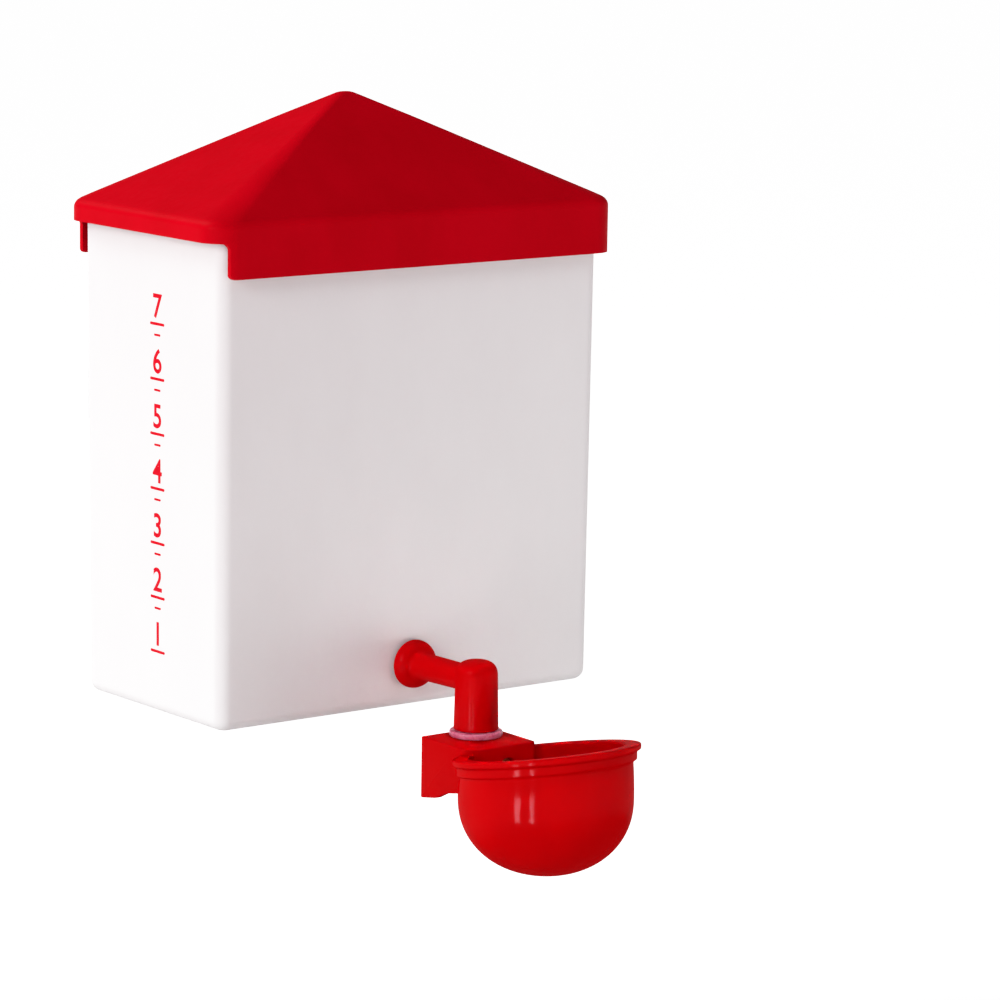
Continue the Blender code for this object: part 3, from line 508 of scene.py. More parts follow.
def build_tank(finish):
    tank = new_object("tank_shell", tank_shell())
    lip_low_z = RAIL_BASE_Z + RAIL_SHEET + FIT
    root_y = TANK_D - tank_front_y(HOOK_SHELF_Z) - TANK_WALL / 2
    tip_y = (RAIL_LIP_Y + RAIL_SHEET + WALL_Y - RAIL_SHEET + HOOK_THICK) / 2
    hook = softened([(root_y, HOOK_SHELF_Z), (tip_y - HOOK_THICK, HOOK_SHELF_Z),
                     (tip_y - HOOK_THICK, lip_low_z), (tip_y, lip_low_z), (tip_y, HOOK_TOP_Z),
                     (root_y, HOOK_TOP_Z)], (0, 0.8, 0.6, 0.6, 1.4, 0), 5, True)
    foot_y = TANK_D - tank_front_y(STANDOFF_Z) - TANK_WALL / 2
    foot = softened([(0, foot_y), (8.2, foot_y), (7.2, foot_y + 3.0), (7.0, WALL_Y - FIT), (0, WALL_Y - FIT)],
                    (0, 0, 1.5, 0.9, 0), 6)
    gusset = [(root_y, HOOK_TOP_Z - 1), (root_y + 3.6, HOOK_TOP_Z - 1), (root_y, HOOK_TOP_Z + 7)]
    steps = []
    for sign in (-1, 1):
        middle = sign * HOOK_X
        steps.append((JOIN, extruded(hook, middle - HOOK_LENGTH / 2, middle + HOOK_LENGTH / 2)))
        steps.append((JOIN, revolved(foot, (sign * STANDOFF_X, 0, STANDOFF_Z), "Y", 72)))
        for offset in (-14, 0, 14):
            steps.append((JOIN, extruded(gusset, middle + offset - 0.9, middle + offset + 0.9)))
    steps.append((CUT, revolved(rod(SPIGOT_HOLE_R, -5, 10), (0, 0, OUTLET_Z), "Y", 72)))
    return settle(apply_booleans(tank, steps), "tank", finish, ["tank_body"])


# ---- lid

def roof_rings(half_x, half_y, corner, fold_z, apex_z, low_z):
    """Skirt and roof outside (or inside), from the lower edge to just under the apex."""
    rise = apex_z - fold_z
    rings = [rounded_ring(half_x, half_y, corner, height)
             for height in np.linspace(low_z, fold_z - 4.0, 7)]
    for turn in np.linspace(0, 1, 11):
        height = fold_z - 3.0 * (1 - turn) ** 2 + 1.6 * turn ** 2
        inset = 1.6 * turn ** 2 / rise
        rings.append(rounded_ring(half_x * (1 - inset), half_y * (1 - inset), corner, height))
    for climb in (1.6 + (rise - 4.1) * np.linspace(0, 1, 22)[1:]) / rise:
        left = 1 - climb
        rings.append(rounded_ring(half_x * left, half_y * left, max(corner * left, 3.0),
                                  fold_z + rise * climb))
    for left, under in ((0.042, 2.12), (0.034, 1.86), (0.025, 1.66), (0.015, 1.54), (0.006, 1.5)):
        rings.append(rounded_ring(half_x * left, half_y * left, 3.0, apex_z - under))
    return rings


def notch_outline():
    """What is cut from the skirt where it is short, with a rounded step at the near left corner."""
    inner_r, outer_r = 3.0, 2.0
    top = arc((NOTCH_X - inner_r, SKIRT_SHORT_Z - inner_r), inner_r, 90, 0, 12)
    foot = arc((NOTCH_X + outer_r, SKIRT_DEEP_Z + outer_r), outer_r, 180, 270, 10)
    beyond = -LID_HALF_X - 10
    return [(beyond, SKIRT_SHORT_Z)] + top + foot + [(NOTCH_X + outer_r, SKIRT_DEEP_Z - 10),
                                                    (beyond, SKIRT_DEEP_Z - 10)]


def lid_ribs():
    """Corners of the ribs that centre the lid on the tank."""
    reach = LID_WALL - 1.0
    for x in (-60, 60):
        for face in (-1, 1):
            inner = MID_Y + face * (LID_HALF_Y - reach)
            tip = MID_Y + face * (TANK_D / 2 + 0.4)
            yield (x - 1, min(inner, tip), SKIRT_DEEP_Z + 3), (x + 1, max(inner, tip), FOLD_Z - 1.6)
    for y in (MID_Y - 24, MID_Y + 24):
        for face, foot in ((-1, SKIRT_SHORT_Z + 1.5), (1, SKIRT_DEEP_Z + 3)):
            inner = face * (LID_HALF_X - reach)
            tip = face * (TANK_W / 2 + 0.4)
            yield (min(inner, tip), y - 1, foot), (max(inner, tip), y + 1, FOLD_Z - 1.6)


def build_lid(finish):
    outside = roof_rings(LID_HALF_X, LID_HALF_Y, LID_CORNER, FOLD_Z, APEX_Z, SKIRT_DEEP_Z)
    inside = roof_rings(LID_HALF_X - LID_WALL, LID_HALF_Y - LID_WALL, LID_CORNER - LID_WALL,
                        FOLD_Z - 1.4, APEX_Z - 3.2, SKIRT_DEEP_Z)
    lid = new_object("lid_shell", lofted(list(reversed(outside)) + inside))
    steps = [(CUT, extruded(notch_outline(), -EAVE_Y - 10, TANK_D + EAVE_Y + 10, "Y"))]
    steps += [(JOIN, block(low, high, 0.4, 2)) for low, high in lid_ribs()]
    apply_booleans(lid, steps)
    round_edges(lid, 0.45, lambda low, high: high.z < SKIRT_SHORT_Z + 0.3)
    return settle(lid, "lid", finish, ["lid"])


def round_edges(made, width, wanted):
    """Round the sharp edges whose lowest and highest corners, in the drawing frame, are wanted."""
    bm = bmesh.new()
    bm.from_mesh(made.data)
    chosen = []
    for edge in bm.edges:
        if not edge.is_manifold or edge.calc_face_angle(0) < math.radians(60):
            continue
        ends = [(vert.co - ORIGIN) / MM for vert in edge.verts]
        low = Vector(min(pair) for pair in zip(*ends))
        high = Vector(max(pair) for pair in zip(*ends))
        if wanted(low, high):
            chosen.append(edge)
    bmesh.ops.bevel(bm, geom=chosen, offset=width * MM, segments=3, profile=0.5, affect="EDGES",
                    clamp_overlap=True)
    bm.to_mesh(made.data)
    bm.free()
    shaded(made.data)


# ---- wall rail

def thread(centre, length, core, crest, pitch, start, tip=0.0, steps=40, rows_per_turn=10):
    """Screw thread along Y as one closed solid, which may end in a point over its last tip millimetres."""
    rows = max(int(length / pitch * rows_per_turn), 8)
    turns = np.arange(steps) / steps
    rings = []
    for along in np.linspace(0, length, rows):
        phase = (along / pitch - turns) % 1.0
        ridge = np.clip(1 - np.abs(phase - 0.5) / 0.34, 0, 1)
        fade = min(1.0, along / pitch, max(length - along, 0) / pitch)
        taper = 1.0 if not tip else min(1.0, max((length - along) / tip, 0.04))
        radius = (core + (crest - core) * ridge * fade) * taper
        rings.append(np.stack([radius * np.cos(turns * math.tau), radius * np.sin(turns * math.tau),
                               np.full(steps, start + along)], 1))
    bm = lofted(rings)
    turn = Matrix.Rotation(-math.pi / 2, 4, "X")
    bmesh.ops.transform(bm, matrix=Matrix.Translation(centre) @ turn, verts=bm.verts)
    return bm


def build_rail(finish):
    """Bent strip with a pierced hole at each end, and its two cross-recessed screws."""
    inner_y = WALL_Y - RAIL_SHEET
    outline = softened([(WALL_Y, RAIL_BASE_Z), (WALL_Y, RAIL_TOP_Z), (inner_y, RAIL_TOP_Z),
                        (inner_y, RAIL_BASE_Z + RAIL_SHEET),
                        (RAIL_LIP_Y + RAIL_SHEET, RAIL_BASE_Z + RAIL_SHEET),
                        (RAIL_LIP_Y + RAIL_SHEET, RAIL_LIP_Z), (RAIL_LIP_Y, RAIL_LIP_Z),
                        (RAIL_LIP_Y, RAIL_BASE_Z)],
                       (2.0, 0.3, 0.3, 0.6, 0.6, 0.3, 0.3, 2.0), 7, True)
    rail = new_object("rail_strip", extruded(outline, -RAIL_HALF, RAIL_HALF))
    steps = []
    for sign in (-1, 1):
        hole = rod(SCREW_HOLE_R, WALL_Y - 5, WALL_Y + 5)
        steps.append((CUT, revolved(hole, (sign * SCREW_X, 0, SCREW_Z), "Y", 48)))
        ends = [(sign * (RAIL_HALF - 4), RAIL_TOP_Z + 1), (sign * (RAIL_HALF + 1), RAIL_TOP_Z + 1),
                (sign * (RAIL_HALF + 1), RAIL_TOP_Z - 4)]
        steps.append((CUT, extruded(ends, WALL_Y - 4, WALL_Y + 2, "Y")))
    apply_booleans(rail, steps)
    settle(rail, "rail", finish, ["wall_rail"])
    head_y = inner_y - 0.2
    cone = [(0, head_y - 4), (1.25, head_y - 4), (0.95, head_y - 1.4), (0, head_y - 0.7)]
    for side, sign in (("left", -1), ("right", 1)):
        centre = (sign * SCREW_X, 0, SCREW_Z)
        dome = [(0, head_y - 2.8), (1.2, head_y - 2.76), (2.3, head_y - 2.6), (3.2, head_y - 2.22),
                (3.9, head_y - 1.6), (4.22, head_y - 0.95), (4.3, head_y - 0.5), (4.22, head_y - 0.12),
                (4.0, head_y), (1.9, head_y), (1.75, head_y + 3.0), (0, head_y + 3.0)]
        screw = new_object("screw_" + side, revolved(dome, centre, "Y", 64))
        steps = [(JOIN, thread(centre, THREAD_LENGTH, 1.5, 1.98, 1.8, head_y + 2.6, 4.5))]
        for half_x, half_z in ((2.1, 0.42), (0.42, 2.1)):
            recess = block((centre[0] - half_x, head_y - 4, SCREW_Z - half_z),
                           (centre[0] + half_x, head_y - 1.5, SCREW_Z + half_z), 0.2, 2)
            steps.append((CUT, recess))
        steps.append((CUT, revolved(cone, centre, "Y", 32)))
        apply_booleans(screw, steps)
        settle(screw, "rail", finish, ["rail_screw_" + side])


# ---- outlet

def build_outlet(finish, nut_finish, rubber_finish):
    centre = (0, 0, OUTLET_Z)
    widest_y = FLANGE_BACK_Y - 1.2
    button = [(TUBE_R_FLANGE + (FLANGE_R - TUBE_R_FLANGE) * math.sin(angle),
               widest_y + (FLANGE_FRONT_Y - widest_y) * math.cos(angle))
              for angle in np.linspace(0.30, math.pi / 2, 20)]
    foot_y = button[0][1]
    throat = [(TUBE_R_FLANGE + 0.06, foot_y - 2.6), (TUBE_R_FLANGE + 0.2, foot_y - 1.5),
              (TUBE_R_FLANGE + 0.52, foot_y - 0.65)]
    section = [(0, LEG_Y), (TUBE_R_LEG, LEG_Y)]
    section += [(TUBE_R_LEG + (TUBE_R_FLANGE - TUBE_R_LEG) * share, LEG_Y + (foot_y - 4 - LEG_Y) * share)
                for share in np.linspace(0.1, 1, 10)]
    section += throat + button + [(FLANGE_R - 0.12, FLANGE_BACK_Y - 0.5), (FLANGE_R - 0.5, FLANGE_BACK_Y)]
    section += [(SPIGOT_R - 0.3, FLANGE_BACK_Y), (SPIGOT_R - 0.45, 4.0), (SPIGOT_R - 0.6, 4.3),
                (SPIGOT_R - 0.6, SPIGOT_END_Y - 0.6), (SPIGOT_R - 1.1, SPIGOT_END_Y), (0, SPIGOT_END_Y)]
    run = revolved(section, centre, "Y", 112)
    for vert in run.verts:
        vert.co.z += TUBE_RISE * max(foot_y - vert.co.y, 0) / (foot_y - LEG_Y)
    elbow = new_object("elbow", run)
    power = 2 / 2.8            # between a round dome and a square one
    dome = [(LEG_R_TOP * math.cos(angle) ** power,
             LEG_SHOULDER_Z + (LEG_TOP_Z - LEG_SHOULDER_Z) * math.sin(angle) ** power)
            for angle in np.linspace(0, math.pi / 2, 26)[1:-1]]
    skirt = [(LEG_R_BASE - 0.35, LEG_BASE_Z), (LEG_R_BASE - 0.1, LEG_BASE_Z + 0.1),
             (LEG_R_BASE, LEG_BASE_Z + 0.4)]
    wall = [(LEG_R_BASE + (LEG_R_TOP - LEG_R_BASE) * share,
             LEG_BASE_Z + (LEG_SHOULDER_Z - LEG_BASE_Z) * share) for share in np.linspace(0.06, 1, 12)]
    leg = [(0, LEG_BASE_Z)] + skirt + wall + dome + [(0, LEG_TOP_Z)]
    drop_r, drop_top_z = WATER_BORE_R + 0.5, OUTLET_Z + WATER_BORE_R + 0.3
    socket = [(0, LEG_BASE_Z - 2), (SOCKET_R + 0.6, LEG_BASE_Z - 2), (SOCKET_R + 0.6, LEG_BASE_Z),
              (SOCKET_R, LEG_BASE_Z + 0.6), (SOCKET_R, SOCKET_TOP_Z), (drop_r, SOCKET_TOP_Z),
              (drop_r, drop_top_z), (0, drop_top_z)]
    bore = rod(WATER_BORE_R, LEG_Y - 0.7, SPIGOT_END_Y + 2)
    screw = thread(centre, 11.0, SPIGOT_R - 0.62, SPIGOT_R - 0.02, SPIGOT_THREAD_PITCH, SPIGOT_THREAD_Y,
                   steps=72, rows_per_turn=12)
    apply_booleans(elbow, [(JOIN, revolved(leg, (0, LEG_Y, 0), "Z", 112)),
                           (JOIN, screw),
                           (CUT, revolved(bore, centre, "Y", 72)),
                           (CUT, revolved(socket, (0, LEG_Y, 0), "Z", 72))])
    settle(elbow, "tank", finish, ["outlet_elbow"])

    wall_y = tank_front_y(OUTLET_Z)
    inner_y = wall_y + TANK_WALL + FIT
    for name, node, outer, low, high in (
            ("washer_outside", "outer_washer", 9.2, FLANGE_BACK_Y + FIT, wall_y - FIT),
            ("washer_inside", "inner_washer", 10.0, inner_y, inner_y + WASHER_THICK)):
        ring = softened(rod(outer, low, high, SPIGOT_R + FIT), min(0.3, (high - low) * 0.3), 4, True)
        settle(new_object(name, revolved(ring, centre, "Y", 72)), "tank", rubber_finish, [node])

    nut_y = inner_y + WASHER_THICK + FIT
    nut_end_y = nut_y + NUT_THICK
    corner_r = NUT_FLATS / 2 / math.cos(math.pi / 6)
    outline = [(corner_r * math.cos(math.tau * k / 6), OUTLET_Z + corner_r * math.sin(math.tau * k / 6))
               for k in range(6)]
    nut = new_object("lock_nut", extruded(outline, nut_y, nut_end_y, "Y"))
    faceted = [(0, nut_y - 0.01), (corner_r - 1.5, nut_y - 0.01), (corner_r + 0.2, nut_y + 1.0),
               (corner_r + 0.2, nut_end_y - 1.0), (corner_r - 1.5, nut_end_y + 0.01), (0, nut_end_y + 0.01)]
    mouth_r = SPIGOT_R + 1.0
    grooves = [(SPIGOT_R + FIT + 0.35 * (step % 2), nut_y + 0.3 + 0.75 * step) for step in range(8)]
    bore = [(0, nut_y - 2), (mouth_r, nut_y - 2), (mouth_r, nut_y)] + grooves
    bore += [(mouth_r, nut_end_y), (mouth_r, nut_end_y + 2), (0, nut_end_y + 2)]
    apply_booleans(nut, [(OVERLAP, revolved(faceted, centre, "Y", 96)),
                         (CUT, revolved(bore, centre, "Y", 72))])
    settle(nut, "tank", nut_finish, ["bulkhead_nut"])


# ---- swivel

def build_swivel(gasket_finish, rubber_finish, red):
    centre = (0, LEG_Y, 0)
    gasket = softened(rod(GASKET_R, GASKET_LOW_Z, GASKET_HIGH_Z, SOCKET_R), (0.2, 0.5, 0.9, 0.2), 8, True)
    settle(new_object("gasket_ring", revolved(gasket, centre, "Z", 128)), "cup", gasket_finish,
           ["swivel_gasket"])
    groove_r = NIPPLE_R - 1.05
    groove_low_z, groove_high_z = O_RING_Z - 0.9, O_RING_Z + 0.9
    nipple = softened([(NIPPLE_BORE_R, NIPPLE_BASE_Z), (4.6, NIPPLE_BASE_Z), (4.6, SEAT_Z),
                       (NIPPLE_R, SEAT_Z + 0.3), (NIPPLE_R, groove_low_z), (groove_r, groove_low_z),
                       (groove_r, groove_high_z), (NIPPLE_R, groove_high_z), (NIPPLE_R, NIPPLE_TOP_Z),
                       (NIPPLE_BORE_R, NIPPLE_TOP_Z)],
                      (0.3, 0.3, 0, 0.2, 0.15, 0.1, 0.1, 0.15, 0.8, 0.3), 4, True)
    settle(new_object("nipple", revolved(nipple, centre, "Z", 80)), "cup", red, ["inlet_nipple"])
    ring = arc((groove_r + 0.1 + O_RING_SECTION, O_RING_Z), O_RING_SECTION, 0, 345, 23)
    settle(new_object("o_ring_swivel", revolved(ring, centre, "Z", 80)), "cup", rubber_finish,
           ["nipple_o_ring"])


# ---- cup

def bowl_section():
    """(radius, height, share of the rim's slope) from the outside of the base to the inside of the base."""
    def underside(radius, base_z, steps):
        rows = []
        for angle in np.linspace(0, math.pi / 2, steps)[1:]:
            across = radius * math.sin(angle) ** (2 / BOWL_POWER)
            down = (BELLY_Z - base_z) * math.cos(angle) ** (2 / BOWL_POWER)
            rows.append((across, BELLY_Z - down, 0.0))
        return rows

    neck_z = RIM_Z + BEAD_BASE
    shares = np.linspace(0, 1, 12)[1:]
    outside = underside(BELLY_R, BOWL_BASE_Z, 40)
    wall = [(BELLY_R + (NECK_R - BELLY_R) * share ** 2, BELLY_Z + (neck_z - 1.4 - BELLY_Z) * share, share)
            for share in shares]
    rim = softened([(NECK_R, BEAD_BASE - 1.3), (NECK_R + 0.2, BEAD_BASE - 0.5), (BEAD_R, BEAD_BASE + 0.1),
                    (BEAD_R, BEAD_TOP), (RECESS_R, BEAD_TOP + 0.1), (RECESS_R, -RIM_FACE - 0.4),
                    (RIM_R, -RIM_FACE + 0.3), (RIM_R, 0), (OPENING_R, 0), (OPENING_R + 0.1, -RIM_THICK)],
                   (0, 0.6, 0.8, 0.4, 0.3, 0.5, 0.9, 0.75, 0.9, 0), 6)
    rim = [(radius, RIM_Z + below, 1.0) for radius, below in rim]
    lip_z = RIM_Z - RIM_THICK - 1.0
    inner_wall = [(BELLY_R - BOWL_WALL + (OPENING_R + 0.2 - BELLY_R + BOWL_WALL) * share,
                   BELLY_Z + (lip_z - BELLY_Z) * share, share)
                  for share in shares[::-1]]
    inside = list(reversed(underside(BELLY_R - BOWL_WALL, BOWL_BASE_Z + BOWL_WALL, 40)))
    return np.array(outside + wall + rim + inner_wall + inside)


def bowl():
    """The bowl's section swept round, with its rim sloping up towards the front."""
    section = bowl_section()
    angles = math.tau * np.arange(BOWL_STEPS) / BOWL_STEPS
    forward = -section[:, :1] * np.sin(angles)
    rings = np.stack([section[:, :1] * np.cos(angles), BOWL_Y - forward,
                      section[:, 1:2] + section[:, 2:] * RIM_SLOPE * forward], -1)
    return lofted(rings)


def block_solid():
    """Valve block: stepped underside, a left front corner that blends into the bowl and a softened top."""
    outline = softened([(BLOCK_BACK_Y, BLOCK_TOP_BACK_Z), (BLOCK_BACK_Y, -30.8), (-44.3, -29.2),
                        (-46.6, -28.6), (-49.2, -27.3), (-51.8, -26.0), (-54.2, -25.2),
                        (BLOCK_FRONT_Y, -22.4), (BLOCK_FRONT_Y, BLOCK_TOP_FRONT_Z)],
                       (0, 0.6, 1, 3, 3, 3, 1, 0, 0), 4, True)
    bm = extruded(outline, BLOCK_LEFT, BLOCK_RIGHT)
    for side, radius in ((BLOCK_LEFT, BLOCK_BLEND), (BLOCK_RIGHT, BLOCK_CORNER)):
        upright = [edge for edge in bm.edges if all(
            abs(vert.co.y - BLOCK_FRONT_Y) + abs(vert.co.x - side) < 0.01 for vert in edge.verts)]
        bmesh.ops.bevel(bm, geom=upright, offset=radius, segments=12, profile=0.5, affect="EDGES")
    return bevelled(bm, 0.55, 3, 50.0)


def build_cup(finish):
    cup = new_object("cup_moulding", bowl())
    centre = (0, LEG_Y, 0)
    axis = (0, 0, VALVE_Z)
    hollow = block((BLOCK_LEFT + BLOCK_WALL, -57.0, -40),
                   (BLOCK_RIGHT - BLOCK_WALL, BLOCK_BACK_Y - BLOCK_WALL, -7.0), 0.8)
    boss = softened(rod(GASKET_R + 0.5, -6.0, SEAT_Z), (0, 0, 0.2, 0), 4)
    seat = softened(rod(GASKET_R + 0.4, SEAT_Z, 4), (0, 0.3, 0, 0), 4)
    channel = [(0, LEG_Y - 1), (2.2, LEG_Y - 1), (2.2, SEAT_BACK_Y + FIT), (VALVE_BORE_R, SEAT_BACK_Y + FIT),
               (VALVE_BORE_R, BLOCK_FRONT_Y + 0.5), (VALVE_BORE_R + 0.5, BLOCK_FRONT_Y),
               (VALVE_BORE_R + 0.5, BLOCK_FRONT_Y - 4), (0, BLOCK_FRONT_Y - 4)]
    steps = [(JOIN, block_solid()), (CUT, hollow),
             (JOIN, revolved(rod(7.4, -19.5, -5.5), centre, "Z", 72)),
             (JOIN, revolved(rod(6.4, -62.0, LEG_Y), axis, "Y", 72)),
             (JOIN, revolved(boss, centre, "Z", 96)),
             (CUT, revolved(seat, centre, "Z", 96)),
             (CUT, revolved(rod(4.85, -17.0, 2), centre, "Z", 64)),
             (CUT, revolved(channel, axis, "Y", 64))]
    for sign in (-1, 1):
        low_x, high_x = sorted((sign * 3.6, sign * 6.3))
        ear = [(BLOCK_FRONT_Y + 1, -22.2), (BLOCK_FRONT_Y + 1, -18.8), (BLOCK_FRONT_Y - 1, -16.8)]
        ear += arc((PIVOT_Y, PIVOT_Z), 3.4, 90, 270, 24)
        steps.append((JOIN, extruded(ear, low_x, high_x)))
    steps.append((CUT, revolved(rod(PIN_HOLE_R, -PIN_HALF - 2, PIN_HALF + 2), (0, PIVOT_Y, PIVOT_Z),
                                         "X", 48)))
    return settle(apply_booleans(cup, steps), "cup", finish, ["cup_body"])


# ---- valve and float

def build_valve(finish, brass_finish, steel, rubber_finish):
    axis = (0, 0, VALVE_Z)
    seat = softened([(ORIFICE_R, SEAT_BACK_Y), (SEAT_R, SEAT_BACK_Y), (SEAT_R, -53.1), (2.9, -53.1),
                     (2.9, -54.7), (SEAT_R, -54.7), (SEAT_R, SEAT_FRONT_Y), (CHAMBER_R, SEAT_FRONT_Y),
                     (CHAMBER_R, SEAT_FLOOR_Y), (1.9, SEAT_FLOOR_Y), (1.8, SEAT_FLOOR_Y - 0.2),
                     (ORIFICE_R, SEAT_FLOOR_Y - 0.2)],
                    (0.2, 0.3, 0.1, 0.1, 0.1, 0.1, 0.35, 0.3, 0.3, 0.1, 0.1, 0.1), 3, True)
    settle(new_object("brass_seat", revolved(seat, axis, "Y", 72)), "cup", brass_finish, ["valve_seat"])
    o_ring = arc((3.6, -53.9), 0.58, 0, 345, 19)
    settle(new_object("o_ring_seat", revolved(o_ring, axis, "Y", 72)), "cup", rubber_finish,
           ["seat_o_ring"])
    pin = softened(rod(PIN_R, -PIN_HALF, PIN_HALF), (0, 0.4, 0.4, 0), 5)
    pivot = (0, PIVOT_Y, PIVOT_Z)
    settle(new_object("hinge_pin", revolved(pin, pivot, "X", 56)), "cup", steel, ["lever_pin"])
    plunger = softened([(0, PLUNGER_FRONT_Y), (PLUNGER_R, PLUNGER_FRONT_Y), (PLUNGER_R, -66.0),
                        (PLUNGER_WAIST_R, -65.6), (PLUNGER_WAIST_R, -62.4), (PLUNGER_R, -62.0),
                        (PLUNGER_R, PLUNGER_BACK_Y), (0, PLUNGER_BACK_Y)],
                       (0, 0.8, 0.2, 0.2, 0.2, 0.2, 0.2, 0), 4)
    settle(new_object("plunger", revolved(plunger, axis, "Y", 64)), "plunger", finish, ["valve_plunger"])
    pad = softened(rod(PLUNGER_R, PAD_FRONT_Y, PAD_BACK_Y), (0, 0.25, 0.35, 0), 4)
    settle(new_object("plunger_pad", revolved(pad, axis, "Y", 64)), "plunger", rubber_finish,
           ["plunger_rubber"])

    nose_y = PIVOT_Y + 1.2
    pad_low = FLOAT_TOP_Z + FIT
    pad_high = pad_low + PAD_THICK
    line = softened([(-76.0, -21.4), (-88.4, pad_low), (-104.0, pad_low), (-104.0, pad_high),
                     (-87.6, pad_high), (-75.2, -19.2), (nose_y - 1.4, VALVE_Z + 0.4),
                     (nose_y + 0.6, VALVE_Z - 1.0), (-71.6, -19.6), (-73.0, -21.6)],
                    (1.2, 5, 0.8, 0.8, 5, 1.5, 0.4, 0.4, 0.8, 0.8), 5, True)
    lever = new_object("lever_arm", bevelled(extruded(line, -LEVER_HALF, LEVER_HALF), 0.35, 2, 55.0))
    groove = block((-1.9, -103.0, pad_high - 0.5), (1.9, -99.6, pad_high + 1), 0.3, 2)
    apply_booleans(lever, [
        (JOIN, revolved(rod(1.5, -LEVER_HALF + 0.2, LEVER_HALF - 0.2), (0, nose_y, VALVE_Z), "X", 48)),
        (JOIN, revolved(rod(HUB_R, -LEVER_HALF + 0.1, LEVER_HALF - 0.1), pivot, "X", 56)),
        (CUT, revolved(rod(PIN_HOLE_R, -5, 5), pivot, "X", 48)),
        (CUT, revolved(rod(STEM_R + FIT, -36, -20), (0, FLOAT_Y, 0), "Z", 48)),
        (CUT, groove)])
    settle(lever, "float_arm", finish, ["float_lever"])

    buoy = [(0, FLOAT_BASE_Z + 0.5), (7.0, FLOAT_BASE_Z + 0.45), (8.2, FLOAT_BASE_Z + 0.1),
            (FLOAT_R - 6, FLOAT_BASE_Z)]
    buoy += arc((FLOAT_R - 6, FLOAT_BASE_Z + 6), 6, -88, -3, 18)
    buoy += [(FLOAT_R - 0.05, FLOAT_SEAM_Z), (FLOAT_R - 0.35, FLOAT_SEAM_Z + 0.15),
             (FLOAT_R - 0.35, FLOAT_SEAM_Z + 0.45), (FLOAT_R - 0.05, FLOAT_SEAM_Z + 0.6)]
    buoy += arc((FLOAT_R - 3, FLOAT_TOP_Z - 3), 3, 0, 90, 12)
    buoy += [(9.5, FLOAT_TOP_Z), (9.2, FLOAT_TOP_Z - 0.3), (7.2, FLOAT_TOP_Z - 0.3), (6.9, FLOAT_TOP_Z),
             (STEM_R, FLOAT_TOP_Z), (STEM_R, pad_high + 1.8), (STEM_R - 0.5, pad_high + 2.2),
             (0, pad_high + 2.2)]
    settle(new_object("float_body", revolved(buoy, (0, FLOAT_Y, 0), "Z", 112)), "float_arm", finish,
           ["float"])
    clip_z = pad_high + FIT
    clip = softened([(STEM_R + 0.15, clip_z + 0.5), (2.6, clip_z + 0.3), (4.0, clip_z),
                     (4.0, clip_z + 0.5), (2.8, pad_high + 1.8), (STEM_R + 0.15, pad_high + 1.8)],
                    (0.1, 0.3, 0.1, 0.1, 0.3, 0.1), 3, True)
    settle(new_object("push_clip", revolved(clip, (0, FLOAT_Y, 0), "Z", 64)), "float_arm", steel,
           ["float_clip"])


# ---- level marks

def face_x(height):
    return -tank_half(height)[0]


def numeral(figure, size, base_z):
    """One figure as a thin solid on the left face."""
    curve = bpy.data.curves.new("figure", "FONT")
    curve.body = figure
    curve.size = size
    curve.align_x = "CENTER"
    curve.extrude = PRINT_THICK
    curve.offset = 0.24
    curve.resolution_u = 10
    text = linked("figure", curve)
    mesh = evaluated_mesh(text)
    bm = bmesh.new()
    bm.from_mesh(mesh)
    for vert in bm.verts:
        across, up, out = vert.co
        vert.co = (face_x(base_z + up) - out, MARK_Y - across, base_z + up)
    bpy.data.objects.remove(text)
    bpy.data.curves.remove(curve)
    bpy.data.meshes.remove(mesh)
    bmesh.ops.remove_doubles(bm, verts=bm.verts, dist=1e-3)
    return bm


def tick(width, thick, height):
    """Short printed line on the left face."""
    outline = softened([(MARK_Y - width / 2, height), (MARK_Y + width / 2, height),
                        (MARK_Y + width / 2, height + thick), (MARK_Y - width / 2, height + thick)],
                       thick * 0.49, 5, True)
    bm = extruded(outline, -PRINT_THICK, PRINT_THICK)
    for vert in bm.verts:
        vert.co.x += face_x(vert.co.z)
    return bm


def build_marks(finish):
    """Printed level scale: a long tick and its number for each pint, and a short tick between them."""
    whole = bmesh.new()
    parts = []
    for pint in range(1, PINTS + 1):
        level = TANK_FLOOR + pint * PINT_HEIGHT
        parts.append(tick(11.0, 1.25, level))
        parts.append(numeral(str(pint), FIGURE_SIZE, level + 3.4))
        if pint < PINTS:
            parts.append(tick(5.0, 1.0, level + PINT_HEIGHT - 4.6))
    for part in parts:
        mesh = bpy.data.meshes.new("mark")
        part.to_mesh(mesh)
        part.free()
        whole.from_mesh(mesh)
        bpy.data.meshes.remove(mesh)
    settle(new_object("level_marks", whole), "tank", finish)


# ---- camera, floor and light

def aim(azimuth, elevation, roll):
    """Camera axes for a view along an azimuth (from +Y towards +X) and down by an elevation, in degrees."""
    azimuth, elevation, roll = (math.radians(angle) for angle in (azimuth, elevation, roll))
    forward = Vector((math.sin(azimuth) * math.cos(elevation), math.cos(azimuth) * math.cos(elevation),
                      -math.sin(elevation)))
    level = Vector((math.cos(azimuth), -math.sin(azimuth), 0))
    up = level.cross(forward)
    right = math.cos(roll) * level + math.sin(roll) * up
    top = -math.sin(roll) * level + math.cos(roll) * up
    return Matrix((right, top, -forward)).transposed()


def add_camera():
    data = bpy.data.cameras.new("camera")
    data.lens = CAMERA_LENS
    data.sensor_width = 36.0
    data.clip_end = 80.0
    camera = linked("camera", data)
    place = ORIGIN + Vector(CAMERA_PLACE)
    camera.matrix_world = Matrix.Translation(place) @ aim(*CAMERA_TURN).to_4x4()
    bpy.context.scene.camera = camera


